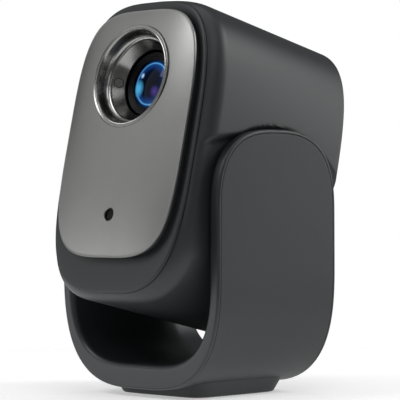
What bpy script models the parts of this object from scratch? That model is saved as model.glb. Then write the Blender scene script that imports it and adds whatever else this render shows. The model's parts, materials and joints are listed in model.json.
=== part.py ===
# Compact portable projector on a tilting U-shaped stand, built piece by piece.
# Blender works in metres with +Z up; lengths below are millimetres and are scaled
# by MM when a mesh is made. The lens looks along -Y, and the stand rests on z = 0.
#
# Head pieces are written around the head's middle as (x, -forward, up), under an
# empty that sits on the tilt hinge and leans the head back.
import math

import bmesh
import bpy
from mathutils import Matrix, Vector

MM = 0.001

# Stand
STAND_WIDTH = 120.0
STAND_DEPTH = 90.2
STAND_SHIFT = -0.39
ARM_TOP = 141.5
ARM_ROUND = 44.7
ARM_POWER = 2.74
ARM_THICK = 7.5
SADDLE_LOW = 4.56
SADDLE_TOP = 17.9
OUTER_CORNER = (54.4, 65.75, 2.76)
INNER_CORNER = (46.0, 50.0, 3.0)
RIM_BEVEL = 1.35
INNER_FILLET = 3.1
COVER_INSET = 1.9
COVER_DEPTH = 2.0
GAP = 0.3

# Foot
FOOT_BOTTOM = (30.4, 31.2)
FOOT_TOP = (34.6, 35.6)
FOOT_LIFT = 0.5
FOOT_SCREWS = (17.0, 19.0)
SCREW_RADIUS = 1.5
TRIPOD_RADIUS = 3.2

# Tilt hinge and resting pose
HINGE_UP = 80.0
TILT = 13.2
HEAD_FORWARD = 15.6
HEAD_UP = 39.4
SHAFT_RADIUS = 4.0

# Head shell
HEAD_HALF = (54.6, 81.65)
HEAD_POWER = 3.68
SEAM_FORWARD = 45.6
SEAM_POWER = 3.41
SEAM_HALF = (49.6, 79.3)
SEAM_RISE = 0.8
SEAM_GAP = 0.3
FRONT_FILLET = 12.0
REAR_FORWARD = -60.0
REAR_FILLET = 3.2
CAVITY_HALF = (50.0, 78.0)
MOUTH_HALF = (47.0, 76.0)
MOUTH_DEPTH = 2.4
RECESS_HALF = 51.9
RECESS_RADIUS = 61.0
BOSS_PLACE = (40.0, 64.5)

# Front plate and its openings
PLATE_HALF = (44.8, 67.4)
PLATE_POWER = 3.81
PLATE_RAISE = 7.0
PLATE_EDGE = 50.43
PLATE_DOME = 3.9
DOME_POWER = 3.0
PLATE_THICK = 1.1
LENS_UP = 37.1
LENS_FACE = 54.4
LENS_OUTER = 28.0
CAMERA_UP = -37.7

# Rear cover, sockets and button
COVER_LOW = REAR_FORWARD + 0.4
COVER_HIGH = REAR_FORWARD + 2.8
BEHIND = REAR_FORWARD - 3.0
COVER_INSIDE = -50.0
VENT_HALF_WIDE = 31.0
VENT_HALF_TALL = 1.6
VENT_PITCH = 6.5
UPPER_VENTS = (7, 58.0)
LOWER_VENTS = (4, -12.0)
REAR_SCREW_HOLE = 1.8
PANEL_TOP = -48.0
# Each socket: x, up, half width, half height of its body, half width and half height of its mouth.
PORTS = {
    "dc_inlet": (-30.0, -58.0, 4.8, 4.8, 3.2, 3.2),
    "hdmi_port": (-13.0, -58.0, 8.2, 3.6, 7.0, 2.3),
    "usb_port": (8.0, -58.0, 7.4, 3.8, 6.2, 2.6),
    "audio_jack": (24.0, -58.0, 3.6, 3.6, 1.8, 1.8),
}
PORT_INNER = -44.0
PORT_DEPTH = 13.0
BUTTON_PLACE = (30.0, -28.0)
BUTTON_RADIUS = 5.0
BUTTON_PROUD = 1.0

# Focus drive
BARREL_RADIUS = 17.7
GEAR_MODULE = 1.0
RING_TEETH = 48
PINION_TEETH = 12
GEAR_BACKLASH = 0.35

# Engine, cooling, boards and speakers
ENGINE_HALF = (30.0, 27.0)
ENGINE_REAR = -34.0
FAN_HALF = 21.0
FAN_FRONT = -42.0
FAN_REAR = -52.0
FAN_PLACE = (-8.0, LOWER_VENTS[1] - 1.5 * VENT_PITCH)
FAN_THROAT = 19.6
BOARD_THICK = 1.6
MAIN_BOARD = (-41.0, 41.0, -61.0, 6.0)
MAIN_BOARD_FORWARD = 12.0
POWER_BOARD = (-38.0, 38.0, -38.0, 9.0)
POWER_BOARD_UP = -68.6
SPEAKER_X = (10.0, 42.0)
SPEAKER_FORWARD = (17.0, 34.0)
SPEAKER_UP = (-59.0, -2.0)
BRACKET_HALF = 43.0
BRACKET_FORWARD = (-54.0, -27.0)
BRACKET_UP = (-36.0, 6.0)
BRACKET_WALL = 2.0


def superellipse(half_x, half_z, power, count, up=0.0):
    points = []
    for step in range(count):
        angle = 2 * math.pi * step / count
        c, s = math.cos(angle), math.sin(angle)
        x = half_x * math.copysign(abs(c) ** (2 / power), c)
        z = half_z * math.copysign(abs(s) ** (2 / power), s)
        points.append((x, z + up))
    return points


def circle(radius, count, x=0.0, up=0.0):
    turn = 2 * math.pi / count
    return [(x + radius * math.cos(i * turn), up + radius * math.sin(i * turn)) for i in range(count)]


def add_loops(mesh, loops, ring=False, caps=True):
    """Skins neighbouring closed loops of equal length; ring joins the last to the first."""
    rows = [[mesh.verts.new(Vector(point) * MM) for point in loop] for loop in loops]
    count = len(rows[0])
    pairs = list(zip(rows, rows[1:]))
    if ring:
        pairs.append((rows[-1], rows[0]))
    for lower, upper in pairs:
        for i in range(count):
            j = (i + 1) % count
            mesh.faces.new((lower[i], lower[j], upper[j], upper[i]))
    if caps and not ring:
        mesh.faces.new(rows[0][::-1])
        mesh.faces.new(rows[-1])
    return rows


def material(name, colour, roughness, metallic, alpha=1.0):
    found = bpy.data.materials.get(name)
    if found:
        return found
    made = bpy.data.materials.new(name)
    made.use_nodes = True
    shader = made.node_tree.nodes["Principled BSDF"]
    shader.inputs["Base Color"].default_value = (*colour, 1.0)
    shader.inputs["Roughness"].default_value = roughness
    shader.inputs["Metallic"].default_value = metallic
    shader.inputs["Alpha"].default_value = alpha
    made.diffuse_color = (*colour, alpha)
    return made


def piece(name, mesh, parent, look, location=(0, 0, 0)):
    """Turns a bmesh into a named object under its parent empty."""
    bmesh.ops.recalc_face_normals(mesh, faces=mesh.faces[:])
    data = bpy.data.meshes.new(name)
    mesh.to_mesh(data)
    mesh.free()
    data.shade_smooth()
    data.set_sharp_from_angle(angle=math.radians(35))
    made = bpy.data.objects.new(name, data)
    bpy.context.scene.collection.objects.link(made)
    made.parent = parent
    made.location = Vector(location) * MM
    made.data.materials.append(material(name, *look))
    return made


def combine(target, operation, tools):
    """Boolean modifiers with hidden helper objects, in the target's own place."""
    for tool in tools:
        tool.parent = target.parent
        tool.location = target.location
        tool.hide_render = True
        tool.display_type = "WIRE"
        change = target.modifiers.new(operation.lower(), "BOOLEAN")
        change.operation = operation
        change.object = tool
        change.solver = "EXACT"
    return target


def helper(mesh, name="helper"):
    bmesh.ops.recalc_face_normals(mesh, faces=mesh.faces[:])
    data = bpy.data.meshes.new(name)
    mesh.to_mesh(data)
    mesh.free()
    made = bpy.data.objects.new(name, data)
    bpy.context.scene.collection.objects.link(made)
    return made


def box_mesh(low, high):
    mesh = bmesh.new()
    loops = []
    for z in (low[2], high[2]):
        loops.append([(low[0], low[1], z), (high[0], low[1], z), (high[0], high[1], z), (low[0], high[1], z)])
    add_loops(mesh, loops)
    return mesh


def turned_mesh(profile, axis, centre, count=32, ring=False):
    """Turns (radius, distance) points round an axis: "x", "y" (pointing forward) or "z"."""
    turn = {"x": Matrix.Rotation(math.radians(90), 3, "Y"), "y": Matrix.Rotation(math.radians(90), 3, "X"),
            "z": Matrix.Identity(3)}[axis]
    mesh = bmesh.new()
    loops = []
    for radius, distance in profile:
        loops.append([turn @ Vector((x, z, distance)) + Vector(centre) for x, z in circle(radius, count)])
    add_loops(mesh, loops, ring=ring)
    return mesh


def prism_mesh(outline, low, high, axis):
    """Extrudes a flat outline. Axis "y": outline is (x, up) from forward low to high;
    "x": outline is (-forward, up); "z": outline is (x, y)."""
    place = {"y": lambda a, b, d: (a, -d, b),
             "x": lambda a, b, d: (d, a, b),
             "z": lambda a, b, d: (a, b, d)}[axis]
    mesh = bmesh.new()
    add_loops(mesh, [[place(a, b, d) for a, b in outline] for d in (low, high)])
    return mesh


def head_box(low, high):
    """A box given by (x, forward, up) corners around the head's middle."""
    return box_mesh((low[0], -high[1], low[2]), (high[0], -low[1], high[2]))


def soften(target, width, segments=1):
    edge = target.modifiers.new("edges", "BEVEL")
    edge.width = width * MM
    edge.segments = segments
    edge.limit_method = "ANGLE"
    edge.angle_limit = math.radians(50)
    return target


# Stand

def saddle_stations():
    """Matching outer and inner points down the right arm and round to the middle."""
    straight = STAND_WIDTH / 2
    outer_x, outer_z, outer_power = OUTER_CORNER
    inner_x, inner_z, inner_power = INNER_CORNER
    inner_half = straight - ARM_THICK
    stations = []
    for step in range(13):
        angle = math.radians(90) * step / 12
        c, s = math.cos(angle), math.sin(angle)
        outer = (straight - outer_x + outer_x * c ** (2 / outer_power),
                 SADDLE_LOW + outer_z - outer_z * s ** (2 / outer_power))
        inner = (inner_half - inner_x + inner_x * c ** (2 / inner_power),
                 SADDLE_TOP + inner_z - inner_z * s ** (2 / inner_power))
        stations.append((outer, inner))
    return stations


def stand_loop(inset, depth=None, from_inner=None):
    """A closed loop along the stand's rim, inset from its edge, at a depth in its wall."""
    half_depth = STAND_DEPTH / 2
    centre = ARM_TOP - ARM_ROUND
    half = STAND_WIDTH / 2
    right = []
    for step in range(11, 0, -1):
        angle = math.radians(90) * step / 12
        y = (half_depth - inset) * math.cos(angle) ** (2 / ARM_POWER)
        z = centre + (ARM_ROUND - inset) * math.sin(angle) ** (2 / ARM_POWER)
        right.append(((half, z), (half - ARM_THICK, z), y))
    right.append(((half, centre), (half - ARM_THICK, centre), half_depth - inset))
    for outer, inner in saddle_stations():
        right.append((outer, inner, half_depth - inset))
    places = []
    for outer, inner, y in right:
        across = Vector(outer) - Vector(inner)
        reach = across.length
        share = depth / reach if from_inner is None else 1 - from_inner / reach
        spot = Vector(outer) - across * share
        places.append((spot.x, spot.y, y))
    left = [(-x, z, y) for x, z, y in places[::-1]]
    return places + left


def stand_skin(mesh, rims):
    """Skins the rim loops and fills the first and last across the stand's width."""
    rows = []
    for run in rims:
        front = [mesh.verts.new(Vector((x, -y, z)) * MM) for x, z, y in run]
        rear = [mesh.verts.new(Vector((x, y, z)) * MM) for x, z, y in run]
        rows.append((front, rear))
    for (front, rear), (front_next, rear_next) in zip(rows, rows[1:]):
        around = front + rear[::-1]
        around_next = front_next + rear_next[::-1]
        for i in range(len(around)):
            j = (i + 1) % len(around)
            mesh.faces.new((around[i], around[j], around_next[j], around_next[i]))
    for front, rear in (rows[0], rows[-1]):
        for i in range(len(front) - 1):
            mesh.faces.new((front[i], front[i + 1], rear[i + 1], rear[i]))


def stand_frame(stand):
    mesh = bmesh.new()
    rims = [
        stand_loop(COVER_INSET, COVER_DEPTH),
        stand_loop(COVER_INSET, 0.3),
        stand_loop(RIM_BEVEL, 0.0),
        stand_loop(0.0, RIM_BEVEL),
        stand_loop(0.0, from_inner=INNER_FILLET),
        stand_loop(0.29 * INNER_FILLET, from_inner=0.29 * INNER_FILLET),
        stand_loop(INNER_FILLET, from_inner=0.0),
    ]
    stand_skin(mesh, rims)
    frame = piece("stand_frame", mesh, stand, ((0.052, 0.056, 0.059), 0.42, 0.0))
    wall = STAND_WIDTH / 2
    holes = []
    for side in (-1, 1):
        seat = [(12.0, side * (wall + 5)), (12.0, side * (wall - 5.4))]
        holes.append(helper(turned_mesh(seat, "x", (0, 0, HINGE_UP), 24)))
        bore = [(SHAFT_RADIUS + GAP, side * (wall + 5)), (SHAFT_RADIUS + GAP, side * 40.0)]
        holes.append(helper(turned_mesh(bore, "x", (0, 0, HINGE_UP), 16)))
    holes.append(helper(turned_mesh([(6.4, 0.0), (6.4, 12.4)], "z", (0, 0, 0), 20)))
    holes += screw_holes(SCREW_RADIUS + GAP, 13.5)
    return combine(frame, "DIFFERENCE", holes)


def screw_holes(radius, top):
    holes = []
    for x in (-FOOT_SCREWS[0], FOOT_SCREWS[0]):
        for y in (-FOOT_SCREWS[1], FOOT_SCREWS[1]):
            holes.append(helper(turned_mesh([(radius, -1.0), (radius, top)], "z", (x, y, 0), 12)))
    return holes


def stand_cover(stand):
    mesh = bmesh.new()
    inset = COVER_INSET + GAP
    rims = [stand_loop(inset + 0.25, 0.0), stand_loop(inset, 0.3), stand_loop(inset, COVER_DEPTH - GAP)]
    stand_skin(mesh, rims)
    cover = piece("stand_cover", mesh, stand, ((0.047, 0.051, 0.054), 0.5, 0.0))
    holes = [helper(turned_mesh([(6.4, 0.0), (6.4, 9.0)], "z", (0, 0, 0), 20))]
    holes += screw_holes(SCREW_RADIUS + GAP, 9.0)
    return combine(cover, "DIFFERENCE", holes)


def foot(stand):
    half = STAND_WIDTH / 2
    outer_x, outer_z, outer_power = OUTER_CORNER
    loops = []
    top = 13.0
    for share in (0.0, 1.0):
        half_x = FOOT_BOTTOM[0] + (FOOT_TOP[0] - FOOT_BOTTOM[0]) * share * top / 9.5
        half_y = FOOT_BOTTOM[1] + (FOOT_TOP[1] - FOOT_BOTTOM[1]) * share * top / 9.5
        z = FOOT_LIFT + (top - FOOT_LIFT) * share
        loops.append([(x, y, z) for x, y in superellipse(half_x, half_y, 9.0, 32)])
    mesh = bmesh.new()
    add_loops(mesh, loops)
    base = piece("foot_base", mesh, stand, ((0.047, 0.05, 0.053), 0.5, 0.0))
    under = []
    for step in range(-12, 13):
        angle = math.radians(90) * step / 12
        s = math.sin(angle)
        x = math.copysign(half - outer_x + (outer_x + GAP) * abs(s) ** (2 / outer_power), s)
        z = SADDLE_LOW + outer_z - (outer_z + GAP) * math.cos(angle) ** (2 / outer_power)
        under.append((x if step else 0.0, z))
    saddle = helper(prism_mesh(under, -60.0, 60.0, "y"))
    seat = [(x, y) for x, y in superellipse(27.3, 28.3, 7.0, 28)]
    recess = helper(prism_mesh(seat, -1.0, 1.6, "z"))
    well = helper(turned_mesh([(6.4, 0.0), (6.4, 9.0)], "z", (0, 0, 0), 20))
    combine(base, "DIFFERENCE", [saddle, recess, well] + screw_holes(SCREW_RADIUS + GAP, 12.0))

    pad_outline = superellipse(27.0, 28.0, 7.0, 28)
    pad = piece("foot_pad", prism_mesh(pad_outline, 0.0, 1.2, "z"), stand, ((0.02, 0.02, 0.02), 0.85, 0.0))
    window = [helper(turned_mesh([(7.5, -1.0), (7.5, 3.0)], "z", (0, 0, 0), 20))]
    combine(pad, "DIFFERENCE", window)

    mesh = turned_mesh([(6.0, 0.7), (6.0, 12.0)], "z", (0, 0, 0), 20)
    nut = piece("tripod_insert", mesh, stand, ((0.6, 0.42, 0.17), 0.35, 1.0))
    bore = helper(turned_mesh([(TRIPOD_RADIUS, -1.0), (TRIPOD_RADIUS, 10.0)], "z", (0, 0, 0), 16))
    combine(nut, "DIFFERENCE", [bore])
    for index, (x, y) in enumerate(((-1, -1), (1, -1), (-1, 1), (1, 1)), start=1):
        place = (x * FOOT_SCREWS[0], y * FOOT_SCREWS[1], 0)
        profile = [(SCREW_RADIUS, 1.7), (SCREW_RADIUS, 13.0)]
        piece(f"foot_screw_{index}", turned_mesh(profile, "z", (0, 0, 0), 10), stand,
              ((0.5, 0.5, 0.52), 0.35, 1.0), place)


def nut_mesh(side):
    """A thin hexagon nut round the hinge shaft, its bore and outside on twelve points."""
    bore = circle(SHAFT_RADIUS + GAP, 12)
    across = math.cos(math.radians(30))
    outside = []
    for index, (y, z) in enumerate(circle(7.2, 12)):
        share = across if index % 2 else 1.0
        outside.append((y * share, z * share))
    mesh = bmesh.new()
    loops = []
    for outline, x in ((bore, 56.1), (outside, 56.1), (outside, 57.9), (bore, 57.9)):
        loops.append([(side * x, y, z) for y, z in outline])
    add_loops(mesh, loops, ring=True)
    return mesh


def hinge_hardware(stand, head):
    for side, word in ((-1, "left"), (1, "right")):
        at_hinge = (0, 0, HINGE_UP)
        washer = [(SHAFT_RADIUS + GAP, 54.9), (10.5, 54.9), (10.5, 55.8), (SHAFT_RADIUS + GAP, 55.8)]
        washer = [(r, side * d) for r, d in washer]
        piece(f"friction_washer_{word}", turned_mesh(washer, "x", (0, 0, 0), 24, ring=True), stand,
              ((0.55, 0.55, 0.57), 0.3, 1.0), at_hinge)
        piece(f"hinge_nut_{word}", nut_mesh(side), head, ((0.5, 0.5, 0.52), 0.3, 1.0))
        shaft = [(10.0, 43.3), (10.0, 46.5), (SHAFT_RADIUS, 46.5), (SHAFT_RADIUS, 57.9)]
        shaft = [(r, side * d) for r, d in shaft]
        piece(f"hinge_shaft_{word}", turned_mesh(shaft, "x", (0, 0, 0), 24), head,
              ((0.5, 0.5, 0.52), 0.28, 1.0))


# Head shells

def head_outline(half, power, forward, count=48, up=0.0):
    return [(x, -forward, z) for x, z in superellipse(*half, power, count, up)]


def shrunk(half, inset):
    return (half[0] - inset, half[1] - inset)


def boss_spots():
    return [(x * BOSS_PLACE[0], z * BOSS_PLACE[1]) for z in (-1, 1) for x in (-1, 1)]


def main_shell(head, middle):
    loops = []
    inset_x = HEAD_HALF[0] - SEAM_HALF[0]
    seam_angle = math.acos(1 - inset_x / FRONT_FILLET)
    fillet_start = SEAM_FORWARD - FRONT_FILLET * math.sin(seam_angle)
    for step in range(4, -1, -1):
        angle = seam_angle * step / 4
        share = FRONT_FILLET * (1 - math.cos(angle)) / inset_x
        half = [full + (seam - full) * share for full, seam in zip(HEAD_HALF, SEAM_HALF)]
        power = HEAD_POWER + (SEAM_POWER - HEAD_POWER) * share
        forward = fillet_start + FRONT_FILLET * math.sin(angle) - SEAM_GAP / 2
        loops.append(head_outline(half, power, forward, up=SEAM_RISE * share))
    for step in range(4):
        angle = math.radians(90) * step / 3
        half = shrunk(HEAD_HALF, REAR_FILLET * (1 - math.cos(angle)))
        loops.append(head_outline(half, HEAD_POWER, REAR_FORWARD + REAR_FILLET * (1 - math.sin(angle))))
    mouth_start = SEAM_FORWARD - MOUTH_DEPTH
    mouth_taper = 5.2
    for half, forward in ((CAVITY_HALF, REAR_FORWARD), (CAVITY_HALF, mouth_start - mouth_taper),
                          (MOUTH_HALF, mouth_start), (MOUTH_HALF, SEAM_FORWARD - SEAM_GAP / 2)):
        loops.append(head_outline(half, HEAD_POWER, forward))
    mesh = bmesh.new()
    add_loops(mesh, loops, ring=True)
    shell = piece("main_shell", mesh, head, ((0.055, 0.06, 0.062), 0.42, 0.0), middle)
    boss_radius, boss_low, boss_high = 4.2, COVER_HIGH + 0.5, -42.0
    pilot_depth = 15.0
    bosses = []
    cuts = []
    for x, z in boss_spots():
        post = [(boss_radius, boss_low), (boss_radius, boss_high)]
        bosses.append(helper(turned_mesh(post, "y", (x, 0, z), 12)))
        pilot = [(REAR_SCREW_HOLE, BEHIND), (REAR_SCREW_HOLE, REAR_FORWARD + pilot_depth)]
        cuts.append(helper(turned_mesh(pilot, "y", (x, 0, z), 10)))
    combine(shell, "UNION", bosses)
    for side in (-1, 1):
        cuts.append(helper(recess_mesh(side)))
    bore = [(SHAFT_RADIUS + GAP, -60.0), (SHAFT_RADIUS + GAP, 60.0)]
    cuts.append(helper(turned_mesh(bore, "x", (0, HEAD_FORWARD, -HEAD_UP), 16)))
    return combine(shell, "DIFFERENCE", cuts)


def recess_mesh(side):
    """The shallow side recess that the arm swings in: an arch round the hinge with a
    nearly straight front run, its wall drafted outwards."""
    reach, line_up, line_slope, line_draft = 68.0, 37.4, 0.377, 1.07
    bend, rear, low, draft = 36.0, -66.0, -34.0, 4.4
    arch_from, arch_sweep, arch_steps, rear_drop = 58.0, 94.0, 14, 4.0
    mesh = bmesh.new()
    loops = []
    for grow in (0.0, draft):
        radius = RECESS_RADIUS + grow
        rise = line_up + line_draft * grow
        outline = [(reach, low), (reach, rise), (bend, rise + line_slope * (reach - bend))]
        for step in range(arch_steps + 1):
            angle = math.radians(arch_from + arch_sweep * step / arch_steps)
            outline.append((radius * math.cos(angle), radius * math.sin(angle)))
        outline.append((rear, radius * math.sin(math.radians(arch_from + arch_sweep)) - rear_drop))
        outline.append((rear, low))
        x = side * (RECESS_HALF + grow)
        loops.append([(x, HEAD_FORWARD - forward, up - HEAD_UP) for forward, up in outline])
    add_loops(mesh, loops)
    return mesh


def front_bezel(head, middle):
    plug = shrunk(MOUTH_HALF, 0.4)
    back = SEAM_FORWARD + SEAM_GAP / 2
    rim = shrunk(SEAM_HALF, 0.1)
    face = back + 1.1
    gutter = face - 0.5
    ledge, ledge_power = (47.4, 69.4), 3.7
    pedestal = shrunk(PLATE_HALF, 2.0)
    pedestal_face = 48.6
    rows = [
        (plug, SEAM_POWER, 0.0, back - 4.0),
        (plug, SEAM_POWER, 0.0, back),
        (shrunk(rim, 0.1), SEAM_POWER, SEAM_RISE, back),
        (rim, SEAM_POWER, SEAM_RISE, back + 0.25),
        (shrunk(rim, 0.45), SEAM_POWER, SEAM_RISE, back + 0.7),
        (shrunk(rim, 1.5), 3.5, SEAM_RISE, face),
        (ledge, ledge_power, PLATE_RAISE, face + 0.1),
        (shrunk(ledge, 0.4), ledge_power, PLATE_RAISE, gutter + 0.2),
        (pedestal, PLATE_POWER, PLATE_RAISE, gutter),
        (shrunk(pedestal, 0.2), PLATE_POWER, PLATE_RAISE, pedestal_face),
    ]
    mesh = bmesh.new()
    add_loops(mesh, [head_outline(half, power, forward, up=up) for half, power, up, forward in rows])
    bezel = piece("front_bezel", mesh, head, ((0.05, 0.054, 0.056), 0.45, 0.0), middle)
    return combine(bezel, "DIFFERENCE", front_holes(LENS_OUTER - 0.7, 4.3))


def front_holes(lens_radius, camera_radius):
    """Cutters for the lens and the focus camera, long enough for the bezel and the plate."""
    low, high = 30.0, 70.0
    lens_hole = turned_mesh([(lens_radius, low), (lens_radius, high)], "y", (0, 0, LENS_UP), 40)
    camera_hole = turned_mesh([(camera_radius, low), (camera_radius, high)], "y", (0, 0, CAMERA_UP), 18)
    return [helper(lens_hole), helper(camera_hole)]


def dome(share):
    """How far the plate stands forward of its rim at a share of the way out."""
    return PLATE_DOME * (1 - share ** DOME_POWER)


def front_plate(head, middle):
    loops = []

    def ring_at(share, forward, shrink=0.0):
        half = [side * share for side in shrunk(PLATE_HALF, shrink)]
        loops.append(head_outline(half, PLATE_POWER, forward, up=PLATE_RAISE))

    for share in (0.5, 0.7, 0.85, 0.94, 0.985):
        ring_at(share, PLATE_EDGE + dome(share))
    ring_at(1.0, PLATE_EDGE - 0.2)
    ring_at(1.0, PLATE_EDGE - PLATE_THICK, 0.4)
    for share in (0.94, 0.85, 0.7, 0.5):
        ring_at(share, PLATE_EDGE + dome(share) - PLATE_THICK)
    mesh = bmesh.new()
    add_loops(mesh, loops)
    plate = piece("front_plate", mesh, head, ((0.33, 0.33, 0.335), 0.36, 0.9), middle)
    return combine(plate, "DIFFERENCE", front_holes(LENS_OUTER + GAP, 3.95))


def lens_ring(head, middle):
    """A polished funnel: outer lip, upper wall, step, cone and the rim round the barrel."""
    funnel = [
        (LENS_OUTER, 0.0), (26.4, 0.35), (25.9, 0.2), (25.3, 1.2), (24.3, 6.0), (23.2, 7.4), (22.4, 7.6),
        (22.1, 8.4), (18.4, 14.6), (18.4, 15.6), (20.4, 15.6), (24.0, 9.4), (26.1, 7.6), (26.6, 5.2),
        (LENS_OUTER, 4.6),
    ]
    profile = [(radius, LENS_FACE - depth) for radius, depth in funnel]
    ring = piece("lens_ring", turned_mesh(profile, "y", (0, 0, LENS_UP), 40, ring=True), head,
                 ((0.62, 0.62, 0.63), 0.12, 1.0), middle)
    return combine(ring, "DIFFERENCE", [helper(sensor_mesh(2.9, -6.0, 6.0, 16))])


def sensor_mesh(radius, low, high, count):
    """A short drum through the funnel's left wall, square to the cone."""
    slope = math.atan2(3.9, 6.2)
    inward = Vector((math.cos(slope), -math.sin(slope), 0))
    spot = Vector((-20.3, -(LENS_FACE - 11.4), LENS_UP))
    turn = Vector((0, 0, 1)).rotation_difference(inward).to_matrix()
    mesh = bmesh.new()
    loops = []
    for distance in (low, high):
        loops.append([turn @ Vector((x, y, distance)) + spot for x, y in circle(radius, count)])
    add_loops(mesh, loops)
    return mesh


def front_details(head, middle):
    piece("ambient_sensor", sensor_mesh(2.6, -2.6, 0.1, 16), head, ((0.2, 0.2, 0.2), 0.3, 0.0), middle)
    face = PLATE_EDGE + dome((PLATE_RAISE - CAMERA_UP) / PLATE_HALF[1])
    trim = [(3.6, face + 0.1), (3.0, face - 0.2), (2.9, 49.8), (3.6, 49.8)]
    piece("camera_trim", turned_mesh(trim, "y", (0, 0, CAMERA_UP), 18, ring=True), head,
          ((0.03, 0.03, 0.032), 0.35, 0.0), middle)
    window = [(2.6, face - 1.6), (2.6, face - 0.7)]
    piece("camera_window", turned_mesh(window, "y", (0, 0, CAMERA_UP), 18), head,
          ((0.02, 0.02, 0.025), 0.08, 0.0), middle)
    module = [(5.6, 34.6), (5.6, 41.1), (3.9, 41.6), (3.9, 49.4), (2.5, 49.5), (2.5, face - 1.9)]
    piece("camera_module", turned_mesh(module, "y", (0, 0, CAMERA_UP), 16), head,
          ((0.05, 0.05, 0.055), 0.5, 0.0), middle)


def rear_blank(name, head, middle, kept_low, kept_high):
    """The part of the rear panel's slab that lies between two heights."""
    mesh = bmesh.new()
    loops = []
    for inset, forward in ((1.1, COVER_LOW), (0.4, COVER_LOW + 0.6), (0.4, COVER_HIGH)):
        loops.append(head_outline(shrunk(CAVITY_HALF, inset), HEAD_POWER, forward, 40))
    add_loops(mesh, loops)
    blank = piece(name, mesh, head, ((0.04, 0.043, 0.045), 0.55, 0.0), middle)
    wide = HEAD_HALF[0]
    kept = head_box((-wide, BEHIND, kept_low), (wide, COVER_INSIDE, kept_high))
    return combine(blank, "INTERSECT", [helper(kept)])


def screw_cuts(places):
    hole = [(REAR_SCREW_HOLE, BEHIND), (REAR_SCREW_HOLE, COVER_INSIDE)]
    return [helper(turned_mesh(hole, "y", (x, 0, z), 10)) for x, z in places]


def rear_cover(head, middle):
    top = HEAD_HALF[1]
    cover = rear_blank("rear_cover", head, middle, PANEL_TOP + GAP / 2, top)
    cuts = screw_cuts([spot for spot in boss_spots() if spot[1] > 0])
    short_right = BUTTON_PLACE[0] - 12.0
    for (count, top), right in ((UPPER_VENTS, VENT_HALF_WIDE), (LOWER_VENTS, short_right)):
        for row in range(count):
            up = top - row * VENT_PITCH
            low = (-VENT_HALF_WIDE, BEHIND, up - VENT_HALF_TALL)
            cuts.append(helper(head_box(low, (right, COVER_INSIDE, up + VENT_HALF_TALL))))
    well = [(BUTTON_RADIUS + 0.4, BEHIND), (BUTTON_RADIUS + 0.4, COVER_INSIDE)]
    cuts.append(helper(turned_mesh(well, "y", (BUTTON_PLACE[0], 0, BUTTON_PLACE[1]), 18)))
    return combine(cover, "DIFFERENCE", cuts)


def port_panel(head, middle):
    panel = rear_blank("port_panel", head, middle, -HEAD_HALF[1], PANEL_TOP - GAP / 2)
    cuts = screw_cuts([spot for spot in boss_spots() if spot[1] < 0])
    for x, z, half_x, half_z, mouth_x, mouth_z in PORTS.values():
        opening = port_outline(half_x + GAP, half_z + GAP, half_x == half_z)
        opening = [(x + a, z + b) for a, b in opening]
        cuts.append(helper(prism_mesh(opening, BEHIND, COVER_INSIDE, "y")))
    return combine(panel, "DIFFERENCE", cuts)


def port_outline(half_x, half_z, is_round):
    return superellipse(half_x, half_z, 2.0 if is_round else 8.0, 16)


def ports(head, middle):
    for name, (x, up, half_x, half_z, mouth_x, mouth_z) in PORTS.items():
        is_round = half_x == half_z
        outline = port_outline(half_x, half_z, is_round)
        body = prism_mesh([(x + a, up + b) for a, b in outline], COVER_LOW, PORT_INNER, "y")
        port = piece(name, body, head, ((0.03, 0.03, 0.032), 0.45, 0.2), middle)
        mouth = port_outline(mouth_x, mouth_z, is_round)
        hole = prism_mesh([(x + a, up + b) for a, b in mouth], BEHIND, REAR_FORWARD + PORT_DEPTH, "y")
        combine(port, "DIFFERENCE", [helper(hole)])


def rear_screws(head):
    start, length = REAR_FORWARD + 0.7, 10.8
    for index, (x, z) in enumerate(boss_spots(), start=1):
        place = (x, -HEAD_FORWARD, z + HEAD_UP)
        screw = [(SCREW_RADIUS, start), (SCREW_RADIUS, start + length)]
        piece(f"rear_cover_screw_{index}", turned_mesh(screw, "y", (0, 0, 0), 10), head,
              ((0.3, 0.3, 0.31), 0.35, 1.0), place)


def power_button(head, middle):
    """A capped button whose collar stops it behind the cover, and the switch it presses."""
    face, collar = REAR_FORWARD - BUTTON_PROUD, COVER_HIGH + 0.6
    collar_radius, stem_radius, stem_end = 6.2, 2.0, collar + 3.6
    profile = [(BUTTON_RADIUS - 0.4, face), (BUTTON_RADIUS, face + 0.5), (BUTTON_RADIUS, collar),
               (collar_radius, collar), (collar_radius, collar + 1.2), (stem_radius, collar + 1.4),
               (stem_radius, stem_end)]
    x, up = BUTTON_PLACE
    place = (x, -HEAD_FORWARD, up + HEAD_UP)
    look = ((0.09, 0.095, 0.1), 0.4, 0.0)
    piece("power_button", turned_mesh(profile, "y", (0, 0, 0), 18), head, look, place)
    travel_room, half, depth = 1.6, 5.0, 5.4
    low = stem_end + travel_room
    switch = head_box((x - half, low, up - half), (x + half, low + depth, up + half))
    piece("button_switch", switch, head, ((0.1, 0.1, 0.1), 0.5, 0.0), middle)


# Optics and focus drive

def gear_outline(teeth, radius, thinner, first=0.0, count=None):
    """Tapered teeth on a circle of the pitch radius, as (x, z) points, turned by first."""
    pitch_angle = 2 * math.pi / teeth
    half_tooth = math.pi / (2 * teeth) - thinner / (2 * radius)
    tip, root = radius + 0.8 * GEAR_MODULE, radius - 1.1 * GEAR_MODULE
    points = []
    for tooth in range(count or teeth):
        middle = first + tooth * pitch_angle
        for reach, share in ((root, -1.75), (tip, -0.5), (tip, 0.5), (root, 1.75)):
            angle = middle + share * half_tooth
            points.append((reach * math.cos(angle), reach * math.sin(angle)))
    return points


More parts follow.
